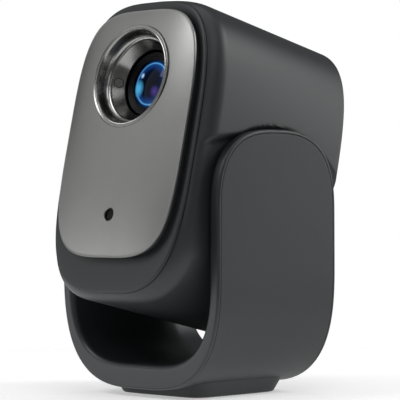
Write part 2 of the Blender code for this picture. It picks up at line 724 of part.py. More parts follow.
def optics(head, middle):
    at_axis = (0, -HEAD_FORWARD, LENS_UP + HEAD_UP)
    barrel = [(14.4, 38.6), (BARREL_RADIUS - 0.5, 38.6), (BARREL_RADIUS, 38.1), (BARREL_RADIUS, 9.0),
              (12.0, 9.0), (12.0, 16.0), (14.4, 17.0)]
    piece("lens_barrel", turned_mesh(barrel, "y", (0, 0, 0), 32, ring=True), head,
          ((0.012, 0.012, 0.013), 0.35, 0.0), at_axis)
    front = [(13.2, 37.0), (11.0, 37.9), (7.0, 38.8), (3.0, 39.2)]
    front_glass = [(14.0, 33.0), (14.0, 36.4)] + front
    piece("lens_front_element", turned_mesh(front_glass, "y", (0, 0, 0), 28), head,
          ((0.03, 0.06, 0.14), 0.03, 0.0), at_axis)
    retainer = [(13.4, 38.5), (14.1, 38.5), (14.1, 37.3), (13.4, 37.3)]
    piece("lens_retainer", turned_mesh(retainer, "y", (0, 0, 0), 28, ring=True), head,
          ((0.015, 0.015, 0.016), 0.4, 0.0), at_axis)
    rear_glass = [(4.0, 19.0), (10.5, 20.2), (14.0, 21.0), (14.0, 24.0), (9.0, 22.5), (3.0, 21.8)]
    piece("lens_rear_element", turned_mesh(rear_glass, "y", (0, 0, 0), 24), head,
          ((0.25, 0.3, 0.32), 0.03, 0.0), at_axis)
    spacer = [(13.2, 24.6), (14.0, 24.6), (14.0, 32.6), (13.2, 32.6)]
    piece("lens_spacer", turned_mesh(spacer, "y", (0, 0, 0), 24, ring=True), head,
          ((0.012, 0.012, 0.013), 0.5, 0.0), at_axis)
    mount = [(BARREL_RADIUS + GAP, 34.0), (20.0, 34.0), (20.0, 8.0), (27.0, 8.0), (27.0, 4.6),
             (BARREL_RADIUS + GAP, 4.6)]
    piece("lens_mount", turned_mesh(mount, "y", (0, 0, 0), 32, ring=True), head,
          ((0.06, 0.06, 0.062), 0.5, 0.0), at_axis)
    focus_gears(head, at_axis)
    half, rear = ENGINE_HALF, ENGINE_REAR
    engine = head_box((-half[0], rear, LENS_UP - half[1]), (half[0], 4.3, LENS_UP + half[1]))
    soften(piece("optical_engine", engine, head, ((0.25, 0.25, 0.26), 0.4, 1.0), middle), 2.0)
    lamp_low = (half[0] + 0.4, rear + 4.0, LENS_UP - 16.0)
    lamp_high = (43.0, -2.0, LENS_UP + 16.0)
    look = ((0.5, 0.45, 0.2), 0.4, 1.0)
    soften(piece("led_module", head_box(lamp_low, lamp_high), head, look, middle), 1.0)


def focus_gears(head, at_axis):
    ring_radius = GEAR_MODULE * RING_TEETH / 2
    pinion_radius = GEAR_MODULE * PINION_TEETH / 2
    sector = 19
    pitch_angle = 2 * math.pi / RING_TEETH
    first = -pitch_angle * (sector - 1) / 2
    teeth = gear_outline(RING_TEETH, ring_radius, GEAR_BACKLASH, first, sector)
    root = ring_radius - 1.1 * GEAR_MODULE
    start = first + pitch_angle * (sector - 0.5)
    plain_steps = 20
    sweep = 2 * math.pi - pitch_angle * sector
    plain = []
    for step in range(plain_steps + 1):
        angle = start + sweep * step / plain_steps
        plain.append((root * math.cos(angle), root * math.sin(angle)))
    outer = teeth + plain
    inner_radius = 20.0 + GAP
    inner = []
    for x, z in outer:
        angle = math.atan2(z, x)
        inner.append((inner_radius * math.cos(angle), inner_radius * math.sin(angle)))
    low, high = 20.0, 25.0
    mesh = bmesh.new()
    add_loops(mesh, [[(x, -low, z) for x, z in inner], [(x, -low, z) for x, z in outer],
                     [(x, -high, z) for x, z in outer], [(x, -high, z) for x, z in inner]], ring=True)
    piece("focus_ring", mesh, head, ((0.7, 0.68, 0.6), 0.5, 0.0), at_axis)
    centre = ring_radius + pinion_radius + 0.15
    half_pitch = math.pi / PINION_TEETH
    outline = gear_outline(PINION_TEETH, pinion_radius, GEAR_BACKLASH, math.pi + half_pitch)
    place = (centre, at_axis[1], at_axis[2])
    pinion = prism_mesh(outline, 19.0, 26.0, "y")
    piece("focus_pinion", pinion, head, ((0.6, 0.42, 0.17), 0.4, 1.0), place)
    motor = [(7.0, 8.4), (7.0, 17.5), (2.5, 17.6), (2.5, 18.6)]
    piece("focus_motor", turned_mesh(motor, "y", (0, 0, 0), 20), head, ((0.4, 0.4, 0.41), 0.35, 1.0), place)


# Cooling, boards, sound and chassis

def heat_sink(head, middle):
    base_front, base_rear, tip = ENGINE_REAR - 1.5, ENGINE_REAR - 5.5, FAN_REAR
    half, fins, half_up = 33.0, 9, 26.0
    pitch = 2 * half / (fins * 2 - 1)
    outline = [(-half, base_front), (half, base_front)]
    for fin in range(fins):
        right = half - fin * 2 * pitch
        left = right - pitch
        outline += [(right, tip), (left, tip)]
        if fin < fins - 1:
            outline += [(left, base_rear), (left - pitch, base_rear)]
    mesh = prism_mesh([(x, -forward) for x, forward in outline], LENS_UP - half_up, LENS_UP + half_up, "z")
    piece("heat_sink", mesh, head, ((0.6, 0.6, 0.62), 0.35, 1.0), middle)


def heat_pipe(head, middle):
    """A flattened pipe along the engine's top, from the lamp side back to the sink."""
    low = (-28.0, ENGINE_REAR - 1.2, LENS_UP + ENGINE_HALF[1] + 0.6)
    high = (36.0, -12.0, low[2] + 3.0)
    soften(piece("heat_pipe", head_box(low, high), head, ((0.7, 0.35, 0.2), 0.3, 1.0), middle), 1.2)


def fan(head, middle):
    x, up = FAN_PLACE
    low = (x - FAN_HALF, FAN_REAR, up - FAN_HALF)
    high = (x + FAN_HALF, FAN_FRONT, up + FAN_HALF)
    frame = piece("fan_frame", head_box(low, high), head, ((0.02, 0.02, 0.021), 0.5, 0.0), middle)
    throat = [(FAN_THROAT, FAN_REAR + 1.6), (FAN_THROAT, FAN_FRONT + 2)]
    cuts = [helper(turned_mesh(throat, "y", (x, 0, up), 32))]
    outer, inner, steps = FAN_THROAT - 0.6, 7.5, 6
    for quarter in range(4):
        start, sweep = math.radians(90 * quarter + 10), math.radians(70)
        arc = [start + sweep * i / steps for i in range(steps + 1)]
        outline = [(x + outer * math.cos(a), up + outer * math.sin(a)) for a in arc]
        outline += [(x + inner * math.cos(a), up + inner * math.sin(a)) for a in arc[::-1]]
        cuts.append(helper(prism_mesh(outline, FAN_REAR - 2, FAN_REAR + 4, "y")))
    combine(frame, "DIFFERENCE", cuts)
    blades, hub, reach = 7, 8.0, FAN_THROAT - 0.8
    outline = []
    for blade in range(blades):
        start = 2 * math.pi * blade / blades
        for radius, lead in ((hub, 0.0), (reach, 0.45), (reach, 0.62), (hub, 0.24), (hub, 0.55)):
            outline.append((radius * math.cos(start + lead), radius * math.sin(start + lead)))
    rotor = prism_mesh(outline, FAN_REAR + 2.6, FAN_FRONT - 0.6, "y")
    piece("fan_rotor", rotor, head, ((0.03, 0.03, 0.031), 0.5, 0.0), (x, -HEAD_FORWARD, up + HEAD_UP))


def boards(head, middle):
    left, right, low, high = MAIN_BOARD
    board = head_box((left, MAIN_BOARD_FORWARD, low), (right, MAIN_BOARD_FORWARD + BOARD_THICK, high))
    piece("main_board", board, head, ((0.02, 0.12, 0.05), 0.5, 0.0), middle)
    chip_half, chip_up, chip_thick = 14.0, (-22.0, 2.0), 2.9
    chip_high = MAIN_BOARD_FORWARD - GAP
    chip = head_box((-chip_half, chip_high - chip_thick, chip_up[0]), (chip_half, chip_high, chip_up[1]))
    look = ((0.55, 0.55, 0.57), 0.4, 1.0)
    soften(piece("processor_heat_spreader", chip, head, look, middle), 0.6)
    left, right, rear, front = POWER_BOARD
    top = POWER_BOARD_UP + BOARD_THICK
    board = head_box((left, rear, POWER_BOARD_UP), (right, front, top))
    piece("power_board", board, head, ((0.02, 0.1, 0.05), 0.5, 0.0), middle)
    coil_x, coil_forward, coil_tall = (-24.0, 6.0), (-30.0, -6.0), 8.2
    low = (coil_x[0], coil_forward[0], top + GAP)
    coil = head_box(low, (coil_x[1], coil_forward[1], top + GAP + coil_tall))
    soften(piece("power_transformer", coil, head, ((0.45, 0.35, 0.12), 0.6, 0.0), middle), 1.0)


def sound(head, middle):
    for side, word in ((-1, "left"), (1, "right")):
        low_x, high_x = sorted(side * x for x in SPEAKER_X)
        low = (low_x, SPEAKER_FORWARD[0], SPEAKER_UP[0])
        high = (high_x, SPEAKER_FORWARD[1], SPEAKER_UP[1])
        look = ((0.015, 0.015, 0.016), 0.6, 0.0)
        soften(piece(f"speaker_{word}", head_box(low, high), head, look, middle), 2.0)


def chassis(head, middle):
    """A folded steel channel that ties the hinge side walls together behind the fan."""
    low, high = BRACKET_FORWARD
    half, wall = BRACKET_HALF, BRACKET_WALL
    outline = [(-half, high), (-half, low), (half, low), (half, high), (half - wall, high),
               (half - wall, low + wall), (-half + wall, low + wall), (-half + wall, high)]
    mesh = prism_mesh(outline, *BRACKET_UP, "y")
    piece("chassis_bracket", mesh, head, ((0.45, 0.46, 0.47), 0.35, 1.0), middle)


def build():
    for old in list(bpy.data.objects):
        bpy.data.objects.remove(old, do_unlink=True)
    stand = bpy.data.objects.new("stand_origin", None)
    hinge = bpy.data.objects.new("tilt_axis", None)
    for empty in (stand, hinge):
        bpy.context.scene.collection.objects.link(empty)
    stand.location = (0, STAND_SHIFT * MM, 0)
    hinge.parent = stand
    hinge.location = (0, 0, HINGE_UP * MM)
    hinge.rotation_euler = (-math.radians(TILT), 0, 0)
    middle = (0, -HEAD_FORWARD, HEAD_UP)

    stand_frame(stand)
    stand_cover(stand)
    foot(stand)
    hinge_hardware(stand, hinge)
    main_shell(hinge, middle)
    front_bezel(hinge, middle)
    front_plate(hinge, middle)
    lens_ring(hinge, middle)
    front_details(hinge, middle)
    rear_cover(hinge, middle)
    port_panel(hinge, middle)
    ports(hinge, middle)
    rear_screws(hinge)
    power_button(hinge, middle)
    optics(hinge, middle)
    heat_sink(hinge, middle)
    heat_pipe(hinge, middle)
    fan(hinge, middle)
    boards(hinge, middle)
    sound(hinge, middle)
    chassis(hinge, middle)


build()
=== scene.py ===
import json
import math

import bmesh
import bpy
import numpy as np
from mathutils import Matrix, Vector


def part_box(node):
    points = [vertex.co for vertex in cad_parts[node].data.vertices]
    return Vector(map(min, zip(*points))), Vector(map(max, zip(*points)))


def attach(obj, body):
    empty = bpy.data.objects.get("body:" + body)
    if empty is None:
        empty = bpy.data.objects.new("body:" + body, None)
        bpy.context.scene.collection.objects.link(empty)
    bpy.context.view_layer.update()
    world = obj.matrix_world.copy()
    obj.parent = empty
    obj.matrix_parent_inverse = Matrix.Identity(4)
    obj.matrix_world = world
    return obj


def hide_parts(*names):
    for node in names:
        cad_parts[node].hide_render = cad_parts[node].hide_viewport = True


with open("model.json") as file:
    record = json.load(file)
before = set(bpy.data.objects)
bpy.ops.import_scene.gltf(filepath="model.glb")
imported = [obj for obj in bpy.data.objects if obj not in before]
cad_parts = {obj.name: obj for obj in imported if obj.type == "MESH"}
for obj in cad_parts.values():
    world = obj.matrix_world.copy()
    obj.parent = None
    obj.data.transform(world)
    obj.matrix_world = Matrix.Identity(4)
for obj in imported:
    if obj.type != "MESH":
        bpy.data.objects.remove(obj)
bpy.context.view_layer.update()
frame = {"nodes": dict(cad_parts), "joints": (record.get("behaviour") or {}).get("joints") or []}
nodes = frame["nodes"]
joints = {joint["name"]: joint for joint in frame["joints"]}
mm = 0.001

# The head hangs on the tilt hinge and leans back by the angle of the lens axis.
hingePoint = Vector(joints["head_tilt"]["pos_m"])
lensAxis = Vector(joints["lens_focus"]["axis"])
leanBack = math.atan2(lensAxis.z, -lensAxis.y)
headMiddle = {"forward": 15.6, "up": 39.4}  # millimetres from the hinge, along the leaning head
standPlace = Matrix.Translation((0, hingePoint.y, 0))
headPlace = Matrix.Translation(hingePoint) @ Matrix.Rotation(-leanBack, 4, "X")
headPlace = headPlace @ Matrix.Translation(Vector((0, -headMiddle["forward"], headMiddle["up"])) * mm)

camera = {"place": (812.77, -810.06, 102.21), "lookAt": (1.66, -0.39, 104.70), "lens": 189.5, "roll": -0.17}


def placeCamera():
    data = bpy.data.cameras.new("portraitLens")
    data.lens = camera["lens"]
    data.sensor_width = 36.0
    data.clip_start = 0.02
    data.clip_end = 20.0
    made = bpy.data.objects.new("camera", data)
    bpy.context.scene.collection.objects.link(made)
    place = Vector(camera["place"]) * mm
    look = Vector(camera["lookAt"]) * mm - place
    turn = look.to_track_quat("-Z", "Y").to_matrix().to_4x4()
    roll = Matrix.Rotation(math.radians(camera["roll"]), 4, "Z")
    made.matrix_world = Matrix.Translation(place) @ turn @ roll
    bpy.context.scene.camera = made


def softOutline(halfWide, halfTall, power, count, rise=0.0):
    # a rounded rectangle as a superellipse, its points evenly spaced along it
    turn = np.linspace(0, 2 * math.pi, 6001)
    across = halfWide * np.sign(np.cos(turn)) * np.abs(np.cos(turn)) ** (2 / power)
    upward = halfTall * np.sign(np.sin(turn)) * np.abs(np.sin(turn)) ** (2 / power)
    along = np.concatenate([[0], np.cumsum(np.hypot(np.diff(across), np.diff(upward)))])
    stops = np.linspace(0, along[-1], count + 1)[:-1]
    return [(x, z + rise) for x, z in zip(np.interp(stops, along, across), np.interp(stops, along, upward))]


def circle(radius, count, x=0.0, z=0.0):
    turn = 2 * math.pi / count
    return [(x + radius * math.cos(i * turn), z + radius * math.sin(i * turn)) for i in range(count)]


def stadium(left, right, z, halfTall, steps=8):
    # a slot outline with half-round ends
    points = []
    for middle, start in ((right - halfTall, -90), (left + halfTall, 90)):
        for step in range(steps + 1):
            angle = math.radians(start + 180 * step / steps)
            points.append((middle + halfTall * math.cos(angle), z + halfTall * math.sin(angle)))
    return points


def rounded(profile, steps=4):
    # corners of a closed profile given as (radius, forward, corner size) become small arcs
    made = []
    count = len(profile)
    for i, (r, f, size) in enumerate(profile):
        corner = Vector((r, f))
        if not size:
            made.append((r, f))
            continue
        before = (Vector(profile[i - 1][:2]) - corner)
        after = (Vector(profile[(i + 1) % count][:2]) - corner)
        first = corner + before.normalized() * min(size, before.length * 0.45)
        last = corner + after.normalized() * min(size, after.length * 0.45)
        for step in range(steps + 1):
            t = step / steps
            spot = first * (1 - t) ** 2 + corner * 2 * t * (1 - t) + last * t ** 2
            made.append((spot.x, spot.y))
    return made


def loft(rows, ring=False):
    # skins neighbouring closed rows of equal length, and closes the ends unless it is a ring
    count = len(rows[0])
    points = [tuple(point) for row in rows for point in row]
    faces = []
    for low in range(len(rows) if ring else len(rows) - 1):
        high = (low + 1) % len(rows)
        for i in range(count):
            j = (i + 1) % count
            faces.append((low * count + i, low * count + j, high * count + j, high * count + i))
    if not ring:
        faces.append(tuple(range(count))[::-1])
        faces.append(tuple(range((len(rows) - 1) * count, len(rows) * count)))
    made = bpy.data.meshes.new("loft")
    made.from_pydata(points, [], faces)
    return outward(made)


def outward(data):
    work = bmesh.new()
    work.from_mesh(data)
    bmesh.ops.recalc_face_normals(work, faces=work.faces[:])
    work.to_mesh(data)
    work.free()
    return data


def turned(profile, centre=(0.0, 0.0), count=96, ring=True):
    # turns (radius, forward) points round a forward axis at (x, up)
    rows = []
    for radius, forward in profile:
        rows.append([(x, -forward, z) for x, z in circle(radius, count, *centre)])
    return loft(rows, ring)


def prism(outline, low, high):
    # an (x, up) outline run from one forward distance to another
    return loft([[(x, -forward, z) for x, z in outline] for forward in (low, high)])


def carve(target, tools, operation="DIFFERENCE"):
    # cuts or joins other meshes, given in the same millimetres, then keeps the result
    base = bpy.data.objects.new("work", target)
    bpy.context.scene.collection.objects.link(base)
    helpers = []
    for tool in tools:
        helperPiece = bpy.data.objects.new("tool", tool)
        bpy.context.scene.collection.objects.link(helperPiece)
        change = base.modifiers.new("carve", "BOOLEAN")
        change.operation = operation
        change.solver = "EXACT"
        change.object = helperPiece
        helpers.append(helperPiece)
    bpy.context.view_layer.update()
    made = bpy.data.meshes.new_from_object(base.evaluated_get(bpy.context.evaluated_depsgraph_get()))
    for old in helpers + [base]:
        bpy.data.objects.remove(old)
    return made


def addPiece(name, data, body, replaced, finish, place=None, crease=32):
    data.transform((place or headPlace) @ Matrix.Scale(mm, 4))
    data.name = name
    data.materials.clear()
    data.materials.append(finish)
    data.shade_smooth()
    data.set_sharp_from_angle(angle=math.radians(crease))
    made = bpy.data.objects.new(name, data)
    bpy.context.scene.collection.objects.link(made)
    evenShade = made.modifiers.new("evenShade", "WEIGHTED_NORMAL")
    evenShade.keep_sharp = True
    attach(made, body)
    if replaced:
        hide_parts(*replaced)
    return made


def hexColour(code):
    # sRGB hex to the linear colour that the shader works in
    parts = [int(code[i:i + 2], 16) / 255 for i in (1, 3, 5)]
    linear = [part / 12.92 if part <= 0.04045 else ((part + 0.055) / 1.055) ** 2.4 for part in parts]
    return (*linear, 1.0)


def addNode(tree, kind, settings=None, links=None):
    made = tree.nodes.new(kind)
    for key, value in (settings or {}).items():
        if isinstance(key, str) and hasattr(made, key):
            setattr(made, key, value)
        else:
            made.inputs[key].default_value = value
    for key, source in (links or {}).items():
        tree.links.new(source, made.inputs[key])
    return made


def newFinish(name, **shaderValues):
    made = bpy.data.materials.new(name)
    made.use_nodes = True
    shader = made.node_tree.nodes["Principled BSDF"]
    for key, value in shaderValues.items():
        shader.inputs[key.replace("_", " ")].default_value = value
    return made, made.node_tree, shader


def perSize(size):
    # texture scale for a feature of that many millimetres
    return 1000.0 / size


def grained(name, darker, lighter, mottle, grain, depth, rough, stretch=(1, 1, 1), **shaderValues):
    # mottle: size of slow colour drift; grain: size of the surface texture; depth: its relief; all mm
    made, tree, shader = newFinish(name, **shaderValues)
    spot = addNode(tree, "ShaderNodeTexCoord")
    drift = addNode(tree, "ShaderNodeTexNoise", {"Scale": perSize(mottle), "Detail": 3.0, "Roughness": 0.55},
                    {"Vector": spot.outputs["Object"]})
    colour = addNode(tree, "ShaderNodeValToRGB", {}, {"Fac": drift.outputs["Fac"]})
    colour.color_ramp.elements[0].position = 0.3
    colour.color_ramp.elements[1].position = 0.7
    colour.color_ramp.elements[0].color = hexColour(darker)
    colour.color_ramp.elements[1].color = hexColour(lighter)
    run = addNode(tree, "ShaderNodeMapping", {"Scale": stretch}, {"Vector": spot.outputs["Object"]})
    texture = addNode(tree, "ShaderNodeTexNoise", {"Scale": perSize(grain), "Detail": 2.0},
                      {"Vector": run.outputs["Vector"]})
    polish = addNode(tree, "ShaderNodeMapRange", {"To Min": rough[0], "To Max": rough[1]},
                     {"Value": texture.outputs["Fac"]})
    relief = addNode(tree, "ShaderNodeBump", {"Strength": 1.0, "Distance": depth * mm},
                     {"Height": texture.outputs["Fac"]})
    tree.links.new(colour.outputs["Color"], shader.inputs["Base Color"])
    tree.links.new(polish.outputs["Result"], shader.inputs["Roughness"])
    tree.links.new(relief.outputs["Normal"], shader.inputs["Normal"])
    return made


def anodisedPlate():
    # Bead-blasted, anodised aluminium: a calm satin sheet whose fine blast grain keeps
    # reflections broad, with only a trace of vertical brushing under it.
    return grained("anodised_aluminium", "#878786", "#8d8d8c", 40, 0.5, 0.004, (0.33, 0.40), (2.5, 2.5, 0.25),
                   Metallic=1.0)


def sparkErodedAbs():
    # Dark graphite ABS from a spark-eroded mould: a soft, even sheen with a hardly visible grain.
    return grained("spark_eroded_abs", "#242729", "#272a2c", 60, 0.6, 0.006, (0.40, 0.48), IOR=1.5)


def armAbs():
    # The same graphite ABS on the stand, from a finer mould, so its edges catch a tighter light.
    return grained("stand_abs", "#232628", "#26292b", 70, 0.5, 0.005, (0.36, 0.44), IOR=1.5)


def coverSkin():
    # Soft-touch lacquer over the arm: flatter than the bare moulding beside it.
    return grained("soft_touch_lacquer", "#222527", "#252829", 80, 0.8, 0.006, (0.44, 0.52), IOR=1.48)


def bezelAbs():
    # The same ABS, a shade darker and flatter, so the front plate stands out from it.
    return grained("bezel_abs", "#202325", "#232628", 50, 0.6, 0.005, (0.42, 0.50), IOR=1.5)


def polishedAluminium():
    # Turned and polished aluminium: mirror-like, with faint turning lines round the axis.
    made, tree, shader = newFinish("polished_aluminium", Metallic=1.0)
    spot = addNode(tree, "ShaderNodeTexCoord")
    drift = addNode(tree, "ShaderNodeTexNoise", {"Scale": perSize(6), "Detail": 2.0},
                    {"Vector": spot.outputs["Object"]})
    colour = addNode(tree, "ShaderNodeValToRGB", {}, {"Fac": drift.outputs["Fac"]})
    colour.color_ramp.elements[0].color = hexColour("#8c8c8b")
    colour.color_ramp.elements[1].color = hexColour("#989896")
    polish = addNode(tree, "ShaderNodeMapRange", {"To Min": 0.17, "To Max": 0.23},
                     {"Value": drift.outputs["Fac"]})
    tree.links.new(colour.outputs["Color"], shader.inputs["Base Color"])
    tree.links.new(polish.outputs["Result"], shader.inputs["Roughness"])
    return made


def blackAnodised():
    # Black anodised barrel: nearly black with a low satin gloss on its turned edges.
    return grained("black_anodised_barrel", "#050506", "#09090a", 8, 0.3, 0.003, (0.26, 0.36),
                   Specular_IOR_Level=0.15)


def glassWithPaintedReflections():
    # Optical glass with its reflections painted on: nearly black, navy towards its rim, with one thin pale
    # painted reflection ring, a cyan painted reflection crescent on one side and a violet painted reflex, so
    # that the eye reads depth behind the surface; the painted colours also glow faintly.
    made, tree, shader = newFinish("glass_painted_reflections", IOR=1.25, Roughness=0.04, Specular_IOR_Level=0.35)
    spot = addNode(tree, "ShaderNodeTexCoord")

    def reach(x, z, low, high):
        # 1 within so many millimetres of a place on the glass, falling to 0
        centre = headPlace @ (Vector((x, -39.0, z)) * mm)
        far = addNode(tree, "ShaderNodeVectorMath", {"operation": "DISTANCE", 1: centre},
                      {0: spot.outputs["Object"]})
        return addNode(tree, "ShaderNodeMapRange", {"From Min": low * mm, "From Max": high * mm},
                       {"Value": far.outputs["Value"]}).outputs["Result"]

    # painted reflection: the navy towards the rim and the thin pale ring stand for reflections in the
    # coating, not the glass's own colour
    reflectionRings = addNode(tree, "ShaderNodeValToRGB", {}, {"Fac": reach(0.0, 37.1, 0.0, 14.0)})
    stops = [(0.0, "#010409"), (0.35, "#020716"), (0.52, "#030b20"), (0.66, "#0a2450"), (0.78, "#113a70"),
             (0.83, "#4f8fba"), (0.865, "#0e3466"), (0.93, "#071a38")]
    for place, code in stops:
        stop = reflectionRings.color_ramp.elements.new(place)
        stop.color = hexColour(code)
    reflectionRings.color_ramp.elements.remove(reflectionRings.color_ramp.elements[-1])
    colour = reflectionRings.outputs["Color"]
    # painted highlights and reflections: a cyan crescent, a pale blue glint and a violet reflex at fixed
    # places on the glass
    glints = {
        "cyan": ("#3f8fb8", -9.6, 34.6, 1.6, 5.4),
        "paleBlue": ("#9fc4e6", -7.4, 41.8, 0.4, 1.9),
        "violet": ("#382a6c", 4.2, 32.6, 0.4, 3.6),
    }
    for code, x, z, low, high in glints.values():
        mask = addNode(tree, "ShaderNodeMath", {"operation": "SUBTRACT", 0: 1.0}, {1: reach(x, z, low, high)})
        blend = addNode(tree, "ShaderNodeMix", {"data_type": "RGBA", 7: hexColour(code)},
                        {0: mask.outputs[0], 6: colour})
        colour = blend.outputs[2]
    tree.links.new(colour, shader.inputs["Base Color"])
    # the painted reflections glow by emission, though the glass is no lamp
    tree.links.new(colour, shader.inputs["Emission Color"])
    shader.inputs["Emission Strength"].default_value = 0.9
    return made


def smokedWindow():
    # Smoked polycarbonate over the small camera: dark grey and glossy, hiding what is behind it.
    return grained("smoked_window", "#161618", "#1b1b1e", 6, 0.4, 0.001, (0.08, 0.14), IOR=1.5)


def rearAbs():
    # Dark ABS of the rear panel, from a coarser mould, so it looks flatter than the shell around it.
    return grained("rear_abs", "#1d1f21", "#222426", 45, 0.9, 0.012, (0.50, 0.58), IOR=1.5)


def keyCap():
    # Dark grey key cap, smoother than the panel round it, which tells the finger where to press.
    return grained("key_cap", "#33363a", "#383b3f", 12, 0.5, 0.004, (0.34, 0.42), IOR=1.5)


def connectorBlack():
    # Black nylon housing of a socket: dull, so the mouth reads as a dark hole.
    return grained("connector_black", "#0e0e0f", "#131315", 10, 0.5, 0.004, (0.42, 0.52))


def zincSteel():
    # Zinc-plated steel: a cool grey metal with cloudy, uneven gloss.
    return grained("zinc_steel", "#8c8e92", "#a2a4a8", 5, 0.6, 0.004, (0.26, 0.40), Metallic=1.0)


def brassTurned():
    # Turned brass: warm yellow metal, bright where its thread ridges catch the light.
    return grained("turned_brass", "#a8854a", "#b8965a", 6, 0.4, 0.003, (0.22, 0.34), Metallic=1.0)


def padRubber():
    # Silicone rubber: black, dull and faintly dusty.
    return grained("silicone_rubber", "#121213", "#19191b", 9, 0.7, 0.02, (0.62, 0.75), Sheen_Weight=0.2)


def extrudedAluminium():
    # Bare extruded fins: pale metal with fine upright die lines, seen as light bars behind the vents.
    return grained("extruded_aluminium", "#9a9ca0", "#b0b2b5", 12, 0.4, 0.004, (0.30, 0.42), (4, 4, 0.4),
                   Metallic=1.0)


def castAluminium():
    # Die-cast aluminium: grey and rough, with no clear reflection.
    return grained("cast_aluminium", "#5f6266", "#717478", 14, 1.2, 0.03, (0.45, 0.58), Metallic=1.0)


def copperTube():
    # Flattened copper heat pipe: brownish red metal with a soft, cloudy gloss.
    return grained("copper_tube", "#8e5236", "#a8664a", 9, 0.6, 0.004, (0.24, 0.38), Metallic=1.0)


def filledNylon():
    # Glass-filled nylon: nearly black and faintly mottled by its fibres.
    return grained("filled_nylon", "#101011", "#18181a", 10, 0.6, 0.008, (0.46, 0.58))


def solderMask():
    # Green solder mask with paler copper tracks running under it.
    made = grained("solder_mask", "#0b3a1e", "#12512c", 3.5, 1.1, 0.01, (0.24, 0.36))
    ramp = [node for node in made.node_tree.nodes if node.type == "VALTORGB"][0]
    ramp.color_ramp.elements[0].position = 0.46
    ramp.color_ramp.elements[1].position = 0.50
    return made


def yellowChromate():
    # Yellow chromate on steel: dull gold that drifts from patch to patch.
    return grained("yellow_chromate", "#6e5f2c", "#8a7a44", 4, 0.5, 0.004, (0.30, 0.42), Metallic=0.8)


def acetal():
    # Natural acetal: milky white plastic that lets a little light in.
    return grained("natural_acetal", "#c9c5b4", "#d6d2c2", 10, 0.6, 0.004, (0.36, 0.46),
                   Subsurface_Weight=0.05)


placeCamera()
print("camera placed")

finishes = {
    "shell": sparkErodedAbs(),
    "stand": armAbs(),
    "cover": coverSkin(),
    "bezel": bezelAbs(),
    "plate": anodisedPlate(),
    "ring": polishedAluminium(),
    "barrel": blackAnodised(),
    "glass": glassWithPaintedReflections(),
    "window": smokedWindow(),
    "rear": rearAbs(),
    "button": keyCap(),
    "port": connectorBlack(),
    "steel": zincSteel(),
    "brass": brassTurned(),
    "rubber": padRubber(),
    "sink": extrudedAluminium(),
    "engine": castAluminium(),
    "copper": copperTube(),
    "fan": filledNylon(),
    "board": solderMask(),
    "chromate": yellowChromate(),
    "nylon": acetal(),
}


standLow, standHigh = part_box("stand_frame")
stand = {
    "halfWide": (standHigh.x - standLow.x) / 2 / mm,
    "halfDeep": (standHigh.y - standLow.y) / 2 / mm,
    "armTop": 141.5,
    "armRound": 44.7,
    "armPower": 2.74,
    "wall": 7.5,
    "outerLow": 4.56,
    "outerCorner": (54.4, 65.75, 2.76),
    "innerLow": 17.9,
    "innerCorner": (46.0, 50.0, 3.0),
    "rimRound": 1.35,
    "innerRound": 3.1,
    "coverInset": 1.9,
    "coverDepth": 2.0,
    "gap": 0.3,
    "steps": 56,
}


def standRun(inset, depth=0.0, fromInner=None):
    # one rim line from the right arm's top, down round the saddle and up the left arm
    half, wall, steps = stand["halfWide"], stand["wall"], stand["steps"]
    centre = stand["armTop"] - stand["armRound"]
    outerX, outerZ, outerPower = stand["outerCorner"]
    innerX, innerZ, innerPower = stand["innerCorner"]
    stations = []
    for step in range(steps - 1, -1, -1):
        angle = math.radians(90) * step / steps
        y = (stand["halfDeep"] - inset) * math.cos(angle) ** (2 / stand["armPower"])
        z = centre + (stand["armRound"] - inset) * math.sin(angle) ** (2 / stand["armPower"])
        stations.append((Vector((half, z)), Vector((half - wall, z)), y))
    for step in range(steps + 1):
        angle = math.radians(90) * step / steps
        c, s = max(0.0, math.cos(angle)), math.sin(angle)
        outer = Vector((half - outerX + outerX * c ** (2 / outerPower),
                        stand["outerLow"] + outerZ - outerZ * s ** (2 / outerPower)))
        inner = Vector((half - wall - innerX + innerX * c ** (2 / innerPower),
                        stand["innerLow"] + innerZ - innerZ * s ** (2 / innerPower)))
        stations.append((outer, inner, stand["halfDeep"] - inset))
    right = []
    for outer, inner, y in stations:
        reach = (outer - inner).length
        share = depth / reach if fromInner is None else 1 - fromInner / reach
        spot = outer + (inner - outer) * share
        right.append((spot.x, y, spot.y))
    return right + [(-x, y, z) for x, y, z in right[::-1]]


def standSkin(runs):
    # skins the rim lines and closes the first and the last across the stand's depth
    rows = []
    for run in runs:
        rows.append([(x, -y, z) for x, y, z in run] + [(x, y, z) for x, y, z in run[::-1]])
    count = len(rows[0])
    points = [point for row in rows for point in row]
    faces = []
    for low in range(len(rows) - 1):
        for i in range(count):
            j = (i + 1) % count
            faces.append((low * count + i, low * count + j, (low + 1) * count + j, (low + 1) * count + i))
    for base in (0, (len(rows) - 1) * count):
        for i in range(count // 2 - 1):
            faces.append((base + i, base + i + 1, base + count - 2 - i, base + count - 1 - i))
    made = bpy.data.meshes.new("standSkin")
    made.from_pydata(points, [], faces)
    return outward(made)


def makeStandFrame():
    inset, rim, fillet = stand["coverInset"], stand["rimRound"], stand["innerRound"]
    runs = [standRun(inset, stand["coverDepth"]), standRun(inset, 0.25), standRun(inset - 0.08, 0.06)]
    for step in range(9):
        angle = math.radians(90) * step / 8
        runs.append(standRun(rim * (1 - math.sin(angle)), rim * (1 - math.cos(angle))))
    for step in range(11):
        angle = math.radians(90) * step / 10
        runs.append(standRun(fillet * (1 - math.cos(angle)), fromInner=fillet * (1 - math.sin(angle))))
    runs.append(standRun(fillet + 1.2, fromInner=0.0))
    addPiece("standFrame", standSkin(runs), "stand", ["stand_frame"], finishes["stand"],
             standPlace)


